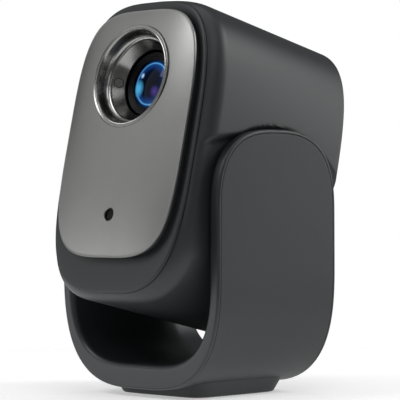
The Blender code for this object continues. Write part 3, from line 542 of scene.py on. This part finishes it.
def makeStandCover():
    inset = stand["coverInset"] + 0.22
    runs = [standRun(inset + 1.4, 0.0), standRun(inset + 0.22, 0.0), standRun(inset + 0.06, 0.06),
            standRun(inset, 0.22), standRun(inset, stand["coverDepth"] - stand["gap"])]
    addPiece("standCover", standSkin(runs), "stand", ["stand_cover"], finishes["cover"],
             standPlace)


foot = {
    "bottom": (30.4, 31.2),
    "top": (34.6, 35.6),
    "topUp": 9.5,
    "lift": 0.5,
    "power": 9.0,
    "edge": 0.7,
    "pad": (27.0, 28.0),
    "padPower": 7.0,
    "recess": (27.3, 28.3),
    "recessTop": 1.6,
    "screws": (17.0, 19.0),
    "screwBore": 1.8,
    "screwUp": 1.7,
}
screw = {"radius": 1.5, "footLength": 11.3, "rearLength": 10.8}


def makeFoot():
    rows, lift = [], foot["lift"]
    for up, draw in ((lift, foot["edge"]), (lift + 0.2, 0.3), (lift + foot["edge"], 0.0), (13.0, 0.0)):
        share = up / foot["topUp"]
        halfX = foot["bottom"][0] + (foot["top"][0] - foot["bottom"][0]) * share - draw
        halfY = foot["bottom"][1] + (foot["top"][1] - foot["bottom"][1]) * share - draw
        rows.append([(x, y, up) for x, y in softOutline(halfX, halfY, foot["power"], 160)])
    base = loft(rows)
    under = [(x, z) for x, y, z in standRun(0.0, -0.05)[stand["steps"] + 8:-stand["steps"] - 8]]
    saddle = prism(under, -60, 60)
    wells = [prism(softOutline(*foot["recess"], foot["padPower"], 120), -1.0, foot["recessTop"]),
             turned([(6.4, -1.0), (6.4, 9.0)], count=64, ring=False)]
    wells += footBores(12.0, 32)
    base = carve(base, [saddle] + [upright(well) for well in wells])
    addPiece("footBase", base, "stand", ["foot_base"], finishes["cover"], standPlace)


def screwSpots(x, y):
    return [(-x, -y), (x, -y), (-x, y), (x, y)]


def footBores(top, count):
    # cutters for the foot's screw holes, up to a height above the floor
    bore = foot["screwBore"]
    profile = [(bore, -1.0), (bore, top)]
    return [turned(profile, spot, count, ring=False) for spot in screwSpots(*foot["screws"])]


def upright(data):
    # lays a forward run along the vertical: (x, up) becomes (x, y), forward becomes up
    data.transform(Matrix.Rotation(math.radians(-90), 4, "X"))
    return data


def makeFootPad():
    half, power = foot["pad"], foot["padPower"]
    rows = []
    for inset, up in ((0.5, 0.0), (0.15, 0.12), (0.0, 0.4), (0.0, 1.2)):
        rows.append([(x, -up, z) for x, z in softOutline(half[0] - inset, half[1] - inset, power, 160)])
    tools = [turned([(7.5, -1.0), (7.5, 3.0)], count=64, ring=False)]
    for inset in (3.0, 6.0):  # shallow grip grooves
        outer = prism(softOutline(half[0] - inset, half[1] - inset, power, 120), -1.0, 0.35)
        inner = prism(softOutline(half[0] - inset - 1.0, half[1] - inset - 1.0, power, 120), -2.0, 2.0)
        tools.append(carve(outer, [inner]))
    tools += footBores(3.0, 24)
    addPiece("footPad", upright(carve(loft(rows), tools)), "stand", ["foot_pad"],
             finishes["rubber"], standPlace)


def makeTripodInsert():
    # a flanged insert whose bore carries the ridges of a quarter-inch thread, 20 to the inch
    thread, up = [], 11.4
    while up > 2.0:
        thread += [(3.2, up), (2.85, up - 0.45), (2.85, up - 0.6), (3.2, up - 1.05)]
        up -= 1.27
    profile = [(5.7, 0.7), (6.0, 1.0), (6.0, 12.0), (3.4, 12.0)] + thread + [(3.3, 1.1), (3.7, 0.7)]
    addPiece("tripodInsert", upright(turned(profile, count=96)), "stand", ["tripod_insert"],
             finishes["brass"], standPlace)


def crossScrew(radius, length):
    # a small machine screw; its head faces backward from forward = 0 and its shank runs forward
    profile = [(0.02, 0.0), (radius * 0.7, 0.02), (radius * 0.93, 0.12), (radius, 0.35), (radius, 1.6),
               (radius * 0.72, 1.9), (radius * 0.72, length), (0.02, length)]
    arm, half = radius * 0.62, radius * 0.13
    bars = []
    for wide, tall in ((arm, half), (half, arm)):
        bars.append(prism([(-wide, -tall), (wide, -tall), (wide, tall), (-wide, tall)], -1.0, 0.75))
    return carve(turned(profile, count=40, ring=False), bars)


def makeFootScrews():
    for index, (x, y) in enumerate(screwSpots(*foot["screws"]), 1):
        place = standPlace @ Matrix.Translation(Vector((x, y, foot["screwUp"])) * mm)
        data = upright(crossScrew(screw["radius"], screw["footLength"]))
        addPiece(f"footScrew{index}", data, "stand", [f"foot_screw_{index}"], finishes["steel"],
                 place)


makeStandFrame()
makeStandCover()
makeFoot()
makeFootPad()
makeTripodInsert()
makeFootScrews()
print("stand made")


shell = {
    "half": (54.6, 81.65),
    "power": 3.68,
    "seamForward": 45.42,
    "seamPower": 3.41,
    "seamHalf": (49.6, 79.3),
    "seamRise": 0.8,
    "frontRound": 12.0,
    "rearForward": -59.9,
    "rearRound": 3.2,
    "cavity": (50.0, 78.0),
    "mouth": (47.0, 76.0),
    "around": 400,
    "rowStep": 0.8,
}
recess = {
    "depthHalf": 51.9,  # half width of the head inside the recess
    "radius": 61.0,  # the arch round the hinge
    "frontRise": 37.4,
    "frontSlope": 0.377,
    "frontFrom": 68.0,
    "softFront": 3.2,  # how soft its edge is near the front, in mm
    "sharpRear": 0.5,
}


def smoothStep(low, high, value):
    t = np.clip((value - low) / (high - low), 0, 1)
    return t * t * (3 - 2 * t)


def recessLimit(forward, up):
    # the furthest that the side may stand out there, and how softly that limit is met
    reach = forward + headMiddle["forward"]
    rise = up + headMiddle["up"]
    line = (rise - recess["frontRise"] - recess["frontSlope"] * (recess["frontFrom"] - reach)) / 1.07
    arch = np.where(rise > 0, np.hypot(reach, rise) - recess["radius"], -recess["radius"])
    share = smoothStep(30, 38, reach)
    grow = arch * (1 - share) + line * share
    grow = 0.5 * (grow + np.sqrt(grow ** 2 + 0.25))
    soft = recess["sharpRear"] + (recess["softFront"] - recess["sharpRear"]) * smoothStep(38, 62, reach)
    return recess["depthHalf"] + grow, soft


def recessed(row):
    points = np.array(row)
    side = np.abs(points[:, 0])
    limit, soft = recessLimit(-points[:, 1], points[:, 2])
    mixed = np.clip(0.5 + 0.5 * (limit - side) / soft, 0, 1)
    held = side * mixed + limit * (1 - mixed) - soft * mixed * (1 - mixed)
    held = np.where(side < 40, side, held)
    points[:, 0] = np.sign(points[:, 0]) * np.minimum(side, held)
    return [tuple(point) for point in points]


def headRow(half, power, forward, count=400, rise=0.0):
    return [(x, -forward, z) for x, z in softOutline(half[0], half[1], power, count, rise)]


def shrunk(half, inset):
    return (half[0] - inset, half[1] - inset)


def makeShell():
    full, seam, around = shell["half"], shell["seamHalf"], shell["around"]
    turnIn = math.acos(1 - (full[0] - seam[0]) / shell["frontRound"])
    start = shell["seamForward"] - shell["frontRound"] * math.sin(turnIn)
    lift = shell["seamRise"]
    rows = [headRow(shrunk(seam, 0.45), shell["seamPower"], shell["seamForward"] - 0.35, around, lift),
            headRow(shrunk(seam, 0.2), shell["seamPower"], shell["seamForward"] - 0.03, around, lift)]
    for step in range(14, 0, -1):
        angle = turnIn * step / 14
        share = shell["frontRound"] * (1 - math.cos(angle)) / (full[0] - seam[0])
        half = (full[0] + (seam[0] - full[0]) * share, full[1] + (seam[1] - full[1]) * share)
        power = shell["power"] + (shell["seamPower"] - shell["power"]) * share
        rows.append(headRow(half, power, start + shell["frontRound"] * math.sin(angle), around, lift * share))
    rearStart = shell["rearForward"] + shell["rearRound"]
    count = round((start - rearStart) / shell["rowStep"])
    for step in range(count + 1):
        rows.append(headRow(full, shell["power"], start + (rearStart - start) * step / count, around))
    for step in range(1, 9):
        angle = math.radians(90) * step / 8
        half = shrunk(full, shell["rearRound"] * (1 - math.cos(angle)))
        rows.append(headRow(half, shell["power"], rearStart - shell["rearRound"] * math.sin(angle), around))
    rows = [recessed(row) for row in rows]
    cavity, mouth = shell["cavity"], shell["mouth"]
    for half, forward in ((shrunk(cavity, -0.3), shell["rearForward"]), (cavity, shell["rearForward"] + 0.3),
                          (cavity, 38.0), (mouth, 43.2), (mouth, shell["seamForward"] - 0.4)):
        rows.append(headRow(half, shell["power"], forward, around))
    addPiece("headShell", loft(rows, ring=True), "head", ["main_shell"], finishes["shell"])


makeShell()
print("shell made")


plate = {
    "half": (44.8, 67.4),
    "power": 3.81,
    "rise": 7.0,
    "edge": 50.43,
    "dome": 3.9,
    "domePower": (2.0, 3.4),
    "thick": 1.1,
}
lens = {"up": 37.1, "face": 54.4, "outer": 28.0}
focusCamera = {"up": -37.7, "hole": 3.45}
bezel = {
    "back": 45.75,
    "rim": (49.5, 79.2),
    "plug": (46.6, 75.6),
    "dip": 0.5,
    "pedestal": (42.8, 65.4),
    "pedestalFace": 48.6,
}


def makeBezel():
    power, back, rim, lift = shell["seamPower"], bezel["back"], bezel["rim"], shell["seamRise"]
    rows = [headRow(bezel["plug"], power, back - 4.0), headRow(bezel["plug"], power, back - 0.15),
            headRow(shrunk(rim, 0.25), power, back, rise=lift)]
    for step in range(9):  # the rolled outer edge
        angle = math.radians(90) * step / 8
        half = shrunk(rim, 1.6 * (1 - math.cos(angle)))
        forward = back + 0.15 + 0.85 * math.sin(angle)
        rows.append(headRow(half, 3.5 + (power - 3.5) * math.cos(angle), forward, rise=lift))
    edge, stem = shrunk(rim, 1.6), bezel["pedestal"]
    for step in range(1, 25):  # one soft sweep from that edge in under the plate
        t = step / 25
        half = (edge[0] + (stem[0] - edge[0]) * t, edge[1] + (stem[1] - edge[1]) * t)
        forward = back + 1.0 - bezel["dip"] * float(smoothStep(0.1, 0.9, t))
        outlinePower = 3.5 + (plate["power"] - 3.5) * t
        rows.append(headRow(half, outlinePower, forward, rise=lift + (plate["rise"] - lift) * t))
    rows.append(headRow(shrunk(stem, 0.2), plate["power"], bezel["pedestalFace"], rise=plate["rise"]))
    data = loft(rows)
    lensHole = turned([(27.3, 30.0), (27.3, 60.0)], (0, lens["up"]), 96, ring=False)
    cameraHole = turned([(4.3, 30.0), (4.3, 60.0)], (0, focusCamera["up"]), 48, ring=False)
    data = carve(data, [lensHole, cameraHole])
    addPiece("frontBezel", data, "head", ["front_bezel"], finishes["bezel"])


def domeForward(x, z):
    halfX, halfZ, power = *plate["half"], plate["power"]
    share = ((np.abs(x) / halfX) ** power + (np.abs(z - plate["rise"]) / halfZ) ** power) ** (1 / power)
    low, high = plate["domePower"]  # flatter towards the foot, fuller round the lens
    fullness = low + (high - low) * smoothStep(-25, 35, z)
    return plate["edge"] + plate["dome"] * (1 - np.minimum(share, 1.0) ** fullness)


def plateOutline(halfWide, halfTall):
    return softOutline(halfWide, halfTall, plate["power"], 320, plate["rise"])


def makePlate():
    rows, (halfWide, halfTall) = [], plate["half"]
    shares = list(np.linspace(0.02, 0.9, 52)) + list(np.linspace(0.91, 0.985, 14))
    for share in shares:
        loop = plateOutline(halfWide * share, halfTall * share)
        rows.append([(x, -float(domeForward(x, z)), z) for x, z in loop])
    edge, back = plate["edge"], plate["edge"] - plate["thick"]
    for draw, forward in ((0.30, edge + 0.20), (0.14, edge + 0.10), (0.04, edge - 0.08), (0.0, edge - 0.3),
                          (0.0, edge - 0.8), (0.2, back + 0.05), (0.6, back)):
        loop = plateOutline(halfWide - draw, halfTall - draw)
        rows.append([(x, -forward, z) for x, z in loop])
    for share in (0.94, 0.8, 0.5, 0.1):
        loop = plateOutline(halfWide * share, halfTall * share)
        rows.append([(x, -float(domeForward(x, z)) + plate["thick"], z) for x, z in loop])
    data = loft(rows)
    bore = lens["outer"] + 0.2
    lensHole = turned([(bore, 40.0), (bore, 70.0)], (0, lens["up"]), 128, ring=False)
    surface = float(domeForward(0.0, focusCamera["up"]))
    hole = focusCamera["hole"]
    chamfer = [(hole, 40.0), (hole, surface - 0.4), (hole + 0.55, surface + 0.15), (hole + 0.55, 60.0)]
    cameraHole = turned(chamfer, (0, focusCamera["up"]), 64, ring=False)
    data = carve(data, [lensHole, cameraHole])
    addPiece("frontPlate", data, "head", ["front_plate"], finishes["plate"], crease=28)


makeBezel()
makePlate()


def makeLensRing():
    face = lens["face"]
    funnel = [
        (28.0, 0.05, 0.25), (27.6, 0.0, 0.2), (26.4, 0.32, 0.25), (25.9, 0.12, 0.2), (25.3, 1.2, 0.5),
        (24.3, 6.0, 1.5), (23.2, 7.4, 0.6), (22.4, 7.55, 0.3), (22.1, 8.4, 0.3), (18.4, 14.6, 0.3),
        (18.4, 15.6, 0.2), (20.4, 15.6, 0),
        (24.0, 9.4, 0), (26.1, 7.6, 0), (26.6, 5.2, 0), (28.0, 4.4, 0),
    ]
    profile = rounded([(r, face - depth, size) for r, depth, size in funnel])
    data = turned(profile, (0, lens["up"]), 160)
    data = carve(data, [sensorDrum(2.75, -6.0, 6.0)])
    addPiece("lensRing", data, "head", ["lens_ring"], finishes["ring"], crease=40)


def sensorDrum(radius, low, high, count=48):
    # a short drum through the funnel's left wall, square to its cone
    slope = math.atan2(3.9, 6.2)
    inward = Vector((math.cos(slope), -math.sin(slope), 0))
    spot = Vector((-20.3, -(lens["face"] - 11.4), lens["up"]))
    turn = Vector((0, 0, 1)).rotation_difference(inward).to_matrix()
    rows = []
    for distance in (low, high):
        rows.append([turn @ Vector((x, y, distance)) + spot for x, y in circle(radius, count)])
    return loft(rows)


def makeSensor():
    addPiece("ambientSensor", sensorDrum(2.45, -2.6, -0.1), "head", ["ambient_sensor"],
             finishes["ring"])


def makeBarrel():
    up = lens["up"]
    barrel = [(14.3, 38.5, 0.15), (14.9, 38.6, 0.15), (15.3, 38.3, 0.15), (15.9, 38.3, 0.1),
              (16.2, 38.6, 0.15), (17.4, 38.6, 0.3), (17.7, 38.1, 0.2), (17.7, 9.0, 0), (12.0, 9.0, 0),
              (12.0, 16.0, 0), (14.3, 17.0, 0)]
    data = turned(rounded(barrel), (0, up), 128)
    addPiece("lensBarrel", data, "lens_barrel", ["lens_barrel"], finishes["barrel"])
    retainer = [(13.3, 38.5, 0.1), (14.1, 38.55, 0.15), (14.1, 37.3, 0), (13.3, 37.3, 0)]
    data = turned(rounded(retainer), (0, up), 128)
    addPiece("lensRetainer", data, "lens_barrel", ["lens_retainer"], finishes["barrel"])
    glass = [(0.05, 39.15), (2.0, 39.12), (4.0, 39.0), (6.0, 38.8), (8.0, 38.5), (10.0, 38.1), (11.4, 37.75),
             (12.4, 37.4), (13.1, 37.05), (13.2, 36.6), (14.0, 36.4), (14.0, 33.0), (0.05, 33.0)]
    data = turned(glass[::-1], (0, up), 128, ring=False)
    addPiece("frontGlass", data, "lens_barrel", ["lens_front_element"], finishes["glass"])


def makeFocusCamera():
    up = focusCamera["up"]
    surface = float(domeForward(0.0, up))
    # the ring and the smoked window, sunk below the plate's surface
    trim = [(3.3, surface - 0.9, 0.15), (3.15, surface - 0.7, 0.1), (2.8, surface - 0.75, 0.1),
            (2.6, surface - 1.3, 0.1), (2.6, 49.8, 0), (3.3, 49.8, 0)]
    addPiece("cameraTrim", turned(rounded(trim), (0, up), 64), "head", ["camera_trim"],
             finishes["barrel"])
    window = [(2.5, surface - 3.0), (2.5, surface - 1.5), (2.2, surface - 1.4), (0.75, surface - 1.36),
              (0.7, surface - 1.75), (0.05, surface - 1.8)]
    data = turned(window, (0, up), 64, ring=False)
    addPiece("cameraWindow", data, "head", ["camera_window"], finishes["window"])


makeLensRing()
makeSensor()
makeBarrel()
makeFocusCamera()
print("front made")


rear = {
    "outside": -59.6,
    "split": -48.0,
    "gap": 0.3,
    "screws": (40.0, 64.5),
    "screwBack": 59.3,
    "screwBore": 1.8,
    "ventHalf": 31.0,
    "ventTall": 1.6,
    "ventPitch": 6.5,
    "upperVents": (7, 58.0),
    "lowerVents": (4, -12.0),
    "button": (30.0, -28.0),
    "power": 3.68,
}
# x, up, half width, half height of the housing, then half width and half height of its mouth
sockets = {
    "dc_inlet": (-30.0, -58.0, 4.8, 4.8, 3.2, 3.2),
    "hdmi_port": (-13.0, -58.0, 8.2, 3.6, 7.0, 2.3),
    "usb_port": (8.0, -58.0, 7.4, 3.8, 6.2, 2.6),
    "audio_jack": (24.0, -58.0, 3.6, 3.6, 1.8, 1.8),
}


def rearSlab(low, high):
    # the rear panel's slab between two heights, its outer edge rolled
    cavity, rows = shell["cavity"], []
    for inset, forward in ((1.1, 0.0), (0.75, 0.08), (0.5, 0.3), (0.4, 0.6), (0.4, 2.4)):
        rows.append(headRow(shrunk(cavity, inset), rear["power"], rear["outside"] + forward, 240))
    kept = prism([(-60, low), (60, low), (60, high), (-60, high)], -63.0, -50.0)
    return carve(loft(rows), [kept], "INTERSECT")


def rearBore(radius, x, z, flare=0.25):
    # a through hole with a small outer countersink
    outside = rear["outside"]
    profile = [(radius + flare, -63.0), (radius + flare, outside), (radius, outside + flare), (radius, -50.0)]
    return turned(profile, (x, z), 48, ring=False)


def makeRearCover():
    tools = []
    shortRight = rear["button"][0] - 12.0
    for (count, top), right in ((rear["upperVents"], rear["ventHalf"]), (rear["lowerVents"], shortRight)):
        for row in range(count):
            z = top - row * rear["ventPitch"]
            tools.append(prism(stadium(-rear["ventHalf"], right, z, rear["ventTall"]), -63.0, -50.0))
    tools += [rearBore(rear["screwBore"], x, z) for x, z in screwSpots(*rear["screws"]) if z > 0]
    tools.append(rearBore(5.4, *rear["button"], 0.5))
    data = carve(rearSlab(rear["split"] + rear["gap"] / 2, 90.0), tools)
    addPiece("rearCover", data, "head", ["rear_cover"], finishes["rear"])


def socketOutline(halfWide, halfTall, count=64):
    if halfWide == halfTall:
        return circle(halfWide, count)
    return softOutline(halfWide, halfTall, 9.0, count)


def shifted(outline, x, z):
    return [(a + x, b + z) for a, b in outline]


def makePortPanel():
    tools = [rearBore(rear["screwBore"], x, z) for x, z in screwSpots(*rear["screws"]) if z < 0]
    for x, z, halfWide, halfTall in [socket[:4] for socket in sockets.values()]:
        tools.append(prism(shifted(socketOutline(halfWide + 0.3, halfTall + 0.3), x, z), -63.0, -50.0))
    data = carve(rearSlab(-90.0, rear["split"] - rear["gap"] / 2), tools)
    addPiece("portPanel", data, "head", ["port_panel"], finishes["rear"])


def makeSockets():
    for name, (x, z, halfWide, halfTall, mouthWide, mouthTall) in sockets.items():
        rows = []
        for inset, forward in ((0.25, -59.6), (0.08, -59.5), (0.0, -59.3), (0.0, -44.0)):
            outline = shifted(socketOutline(halfWide - inset, halfTall - inset), x, z)
            rows.append([(a, -forward, b) for a, b in outline])
        mouth = []
        for grow, forward in ((0.25, -61.0), (0.25, -59.6), (0.0, -59.3), (0.0, -48.0)):
            outline = shifted(socketOutline(mouthWide + grow, mouthTall + grow), x, z)
            mouth.append([(a, -forward, b) for a, b in outline])
        data = carve(loft(rows), [loft(mouth)])
        look = finishes["steel"] if name in ("hdmi_port", "usb_port") else finishes["port"]
        words = name.split("_")
        addPiece(words[0] + words[1].title(), data, "head", [name], look)
    x, z = sockets["usb_port"][:2]
    tongues = {"usbTongue": (x, z + 1.0, 5.4, 0.9), "hdmiTongue": (sockets["hdmi_port"][0], z, 5.6, 0.6)}
    for name, (x, z, halfWide, halfTall) in tongues.items():
        blade = prism(shifted(softOutline(halfWide, halfTall, 8.0, 48), x, z), -58.0, -48.1)
        addPiece(name, blade, "head", None, finishes["port"])
    pin = [(0.02, -57.6), (0.45, -57.5), (0.75, -57.0), (0.75, -48.1), (0.02, -48.1)]
    addPiece("dcPin", turned(pin, sockets["dc_inlet"][:2], 32, ring=False), "head", None,
             finishes["steel"])


def makePowerButton():
    # a key cap with a shallow finger dish, its collar behind the panel and a stem to the switch
    profile = [(0.02, -60.55), (1.5, -60.6), (3.2, -60.78), (4.3, -61.0), (4.7, -60.95), (4.95, -60.7),
               (5.0, -60.3), (5.0, -56.6), (6.2, -56.6), (6.2, -55.4), (2.0, -55.4), (2.0, -53.0),
               (0.02, -53.0)]
    addPiece("powerButton", turned(profile, rear["button"], 96, ring=False), "power_button", ["power_button"],
             finishes["button"])


def makeRearScrews():
    for index, (x, z) in enumerate(screwSpots(*rear["screws"]), 1):
        place = headPlace @ Matrix.Translation(Vector((x, rear["screwBack"], z)) * mm)
        data = crossScrew(screw["radius"], screw["rearLength"])
        addPiece(f"rearScrew{index}", data, "head", [f"rear_cover_screw_{index}"], finishes["steel"],
                 place)


makeRearCover()
makePortPanel()
makeSockets()
makePowerButton()
makeRearScrews()
print("rear made")


# What shows through the vents and seams keeps its own shape and takes a finish of its own.
carried = {
    "sink": ["heat_sink", "processor_heat_spreader"],
    "engine": ["optical_engine"],
    "copper": ["heat_pipe"],
    "fan": ["fan_frame", "fan_rotor", "speaker_left", "speaker_right"],
    "board": ["main_board", "power_board"],
    "chromate": ["led_module", "power_transformer"],
    "steel": ["chassis_bracket", "hinge_shaft_left", "hinge_shaft_right", "hinge_nut_left", "hinge_nut_right",
              "friction_washer_left", "friction_washer_right", "focus_motor"],
    "barrel": ["lens_mount", "lens_spacer", "camera_module"],
    "glass": ["lens_rear_element"],
    "nylon": ["focus_ring"],
    "brass": ["focus_pinion"],
    "port": ["button_switch"],
}
for finishName, names in carried.items():
    for name in names:
        nodes[name].data.materials[0] = finishes[finishName]
print("inner pieces finished")


studio = {"floorRadius": 0.36, "worldGrey": 0.13}


def makeFloor():
    rows = []
    for radius in (0.001, 0.1, 0.2, 0.28, studio["floorRadius"]):
        rows.append([(x, y, 0.0) for x, y in circle(radius, 96)])
    count = len(rows[0])
    points = [point for row in rows for point in row]
    faces = [tuple(range(count))]
    for low in range(len(rows) - 1):
        for i in range(count):
            j = (i + 1) % count
            faces.append((low * count + i, low * count + j, (low + 1) * count + j, (low + 1) * count + i))
    data = bpy.data.meshes.new("floor")
    data.from_pydata(points, [], faces)
    made = bpy.data.objects.new("floor", data)
    bpy.context.scene.collection.objects.link(made)
    paper, tree, shader = newFinish("pale_paper", Roughness=0.9, Emission_Color=(1, 1, 1, 1),
                                     Emission_Strength=0.42)
    spot = addNode(tree, "ShaderNodeTexCoord")
    fibre = addNode(tree, "ShaderNodeTexNoise", {"Scale": perSize(4)}, {"Vector": spot.outputs["Object"]})
    colour = addNode(tree, "ShaderNodeValToRGB", {}, {"Fac": fibre.outputs["Fac"]})
    colour.color_ramp.elements[0].color = hexColour("#f2f2f2")
    colour.color_ramp.elements[1].color = hexColour("#f8f8f8")
    tree.links.new(colour.outputs["Color"], shader.inputs["Base Color"])
    data.materials.append(paper)


def makeWorld():
    world = bpy.data.worlds.new("paleStudio")
    world.use_nodes = True
    tree = world.node_tree
    tree.nodes.clear()
    path = addNode(tree, "ShaderNodeLightPath")
    dim = addNode(tree, "ShaderNodeBackground", {"Color": (1, 1, 1, 1), "Strength": studio["worldGrey"]})
    white = addNode(tree, "ShaderNodeBackground", {"Color": (1, 1, 1, 1), "Strength": 1.0})
    mix = addNode(tree, "ShaderNodeMixShader", {}, {0: path.outputs["Is Camera Ray"], 1: dim.outputs[0],
                                                  2: white.outputs[0]})
    addNode(tree, "ShaderNodeOutputWorld", {}, {"Surface": mix.outputs[0]})
    bpy.context.scene.world = world


# azimuth 0 is straight in front of the lens, 90 on the object's +X side; watts, metres
softboxes = {
    "rearHigh": {"azimuth": 137, "elevation": 35, "away": 1.1, "wide": 0.45, "tall": 0.42, "watts": 3.7},
    "rearLow": {"azimuth": 148, "elevation": 8, "away": 1.1, "wide": 0.5, "tall": 0.42, "watts": 2.3},
    "frontTop": {"azimuth": -22, "elevation": 44, "away": 1.1, "wide": 0.45, "tall": 0.42, "watts": 3.2},
    "left": {"azimuth": -50, "elevation": 22, "away": 1.1, "wide": 0.85, "tall": 0.7, "watts": 1.1},
    "leftLow": {"azimuth": -46, "elevation": -1, "away": 1.0, "wide": 0.6, "tall": 0.1, "watts": 1.0},
    "right": {"azimuth": 47, "elevation": 20, "away": 1.1, "wide": 0.4, "tall": 0.4, "watts": 0.4},
    "rightHigh": {"azimuth": 60, "elevation": 48, "away": 1.1, "wide": 0.45, "tall": 0.5, "watts": 1.2},
    "overhead": {"azimuth": 0, "elevation": 89, "away": 1.3, "wide": 1.0, "tall": 1.0, "watts": 3.5},
}


def makeLights():
    aim = Vector((0, 0, 0.1))
    for name, box in softboxes.items():
        data = bpy.data.lights.new(name, "AREA")
        data.shape = "RECTANGLE"
        data.size, data.size_y, data.energy = box["wide"], box["tall"], box["watts"]
        made = bpy.data.objects.new(name, data)
        bpy.context.scene.collection.objects.link(made)
        turn, rise = math.radians(box["azimuth"]), math.radians(box["elevation"])
        back = Vector((math.sin(turn) * math.cos(rise), -math.cos(turn) * math.cos(rise), math.sin(rise)))
        made.location = aim + back * box["away"]
        made.rotation_euler = back.to_track_quat("Z", "Y").to_euler()
        made.visible_camera = False


makeFloor()
makeWorld()
makeLights()
bpy.context.scene.view_settings.view_transform = "Standard"
print("studio made")
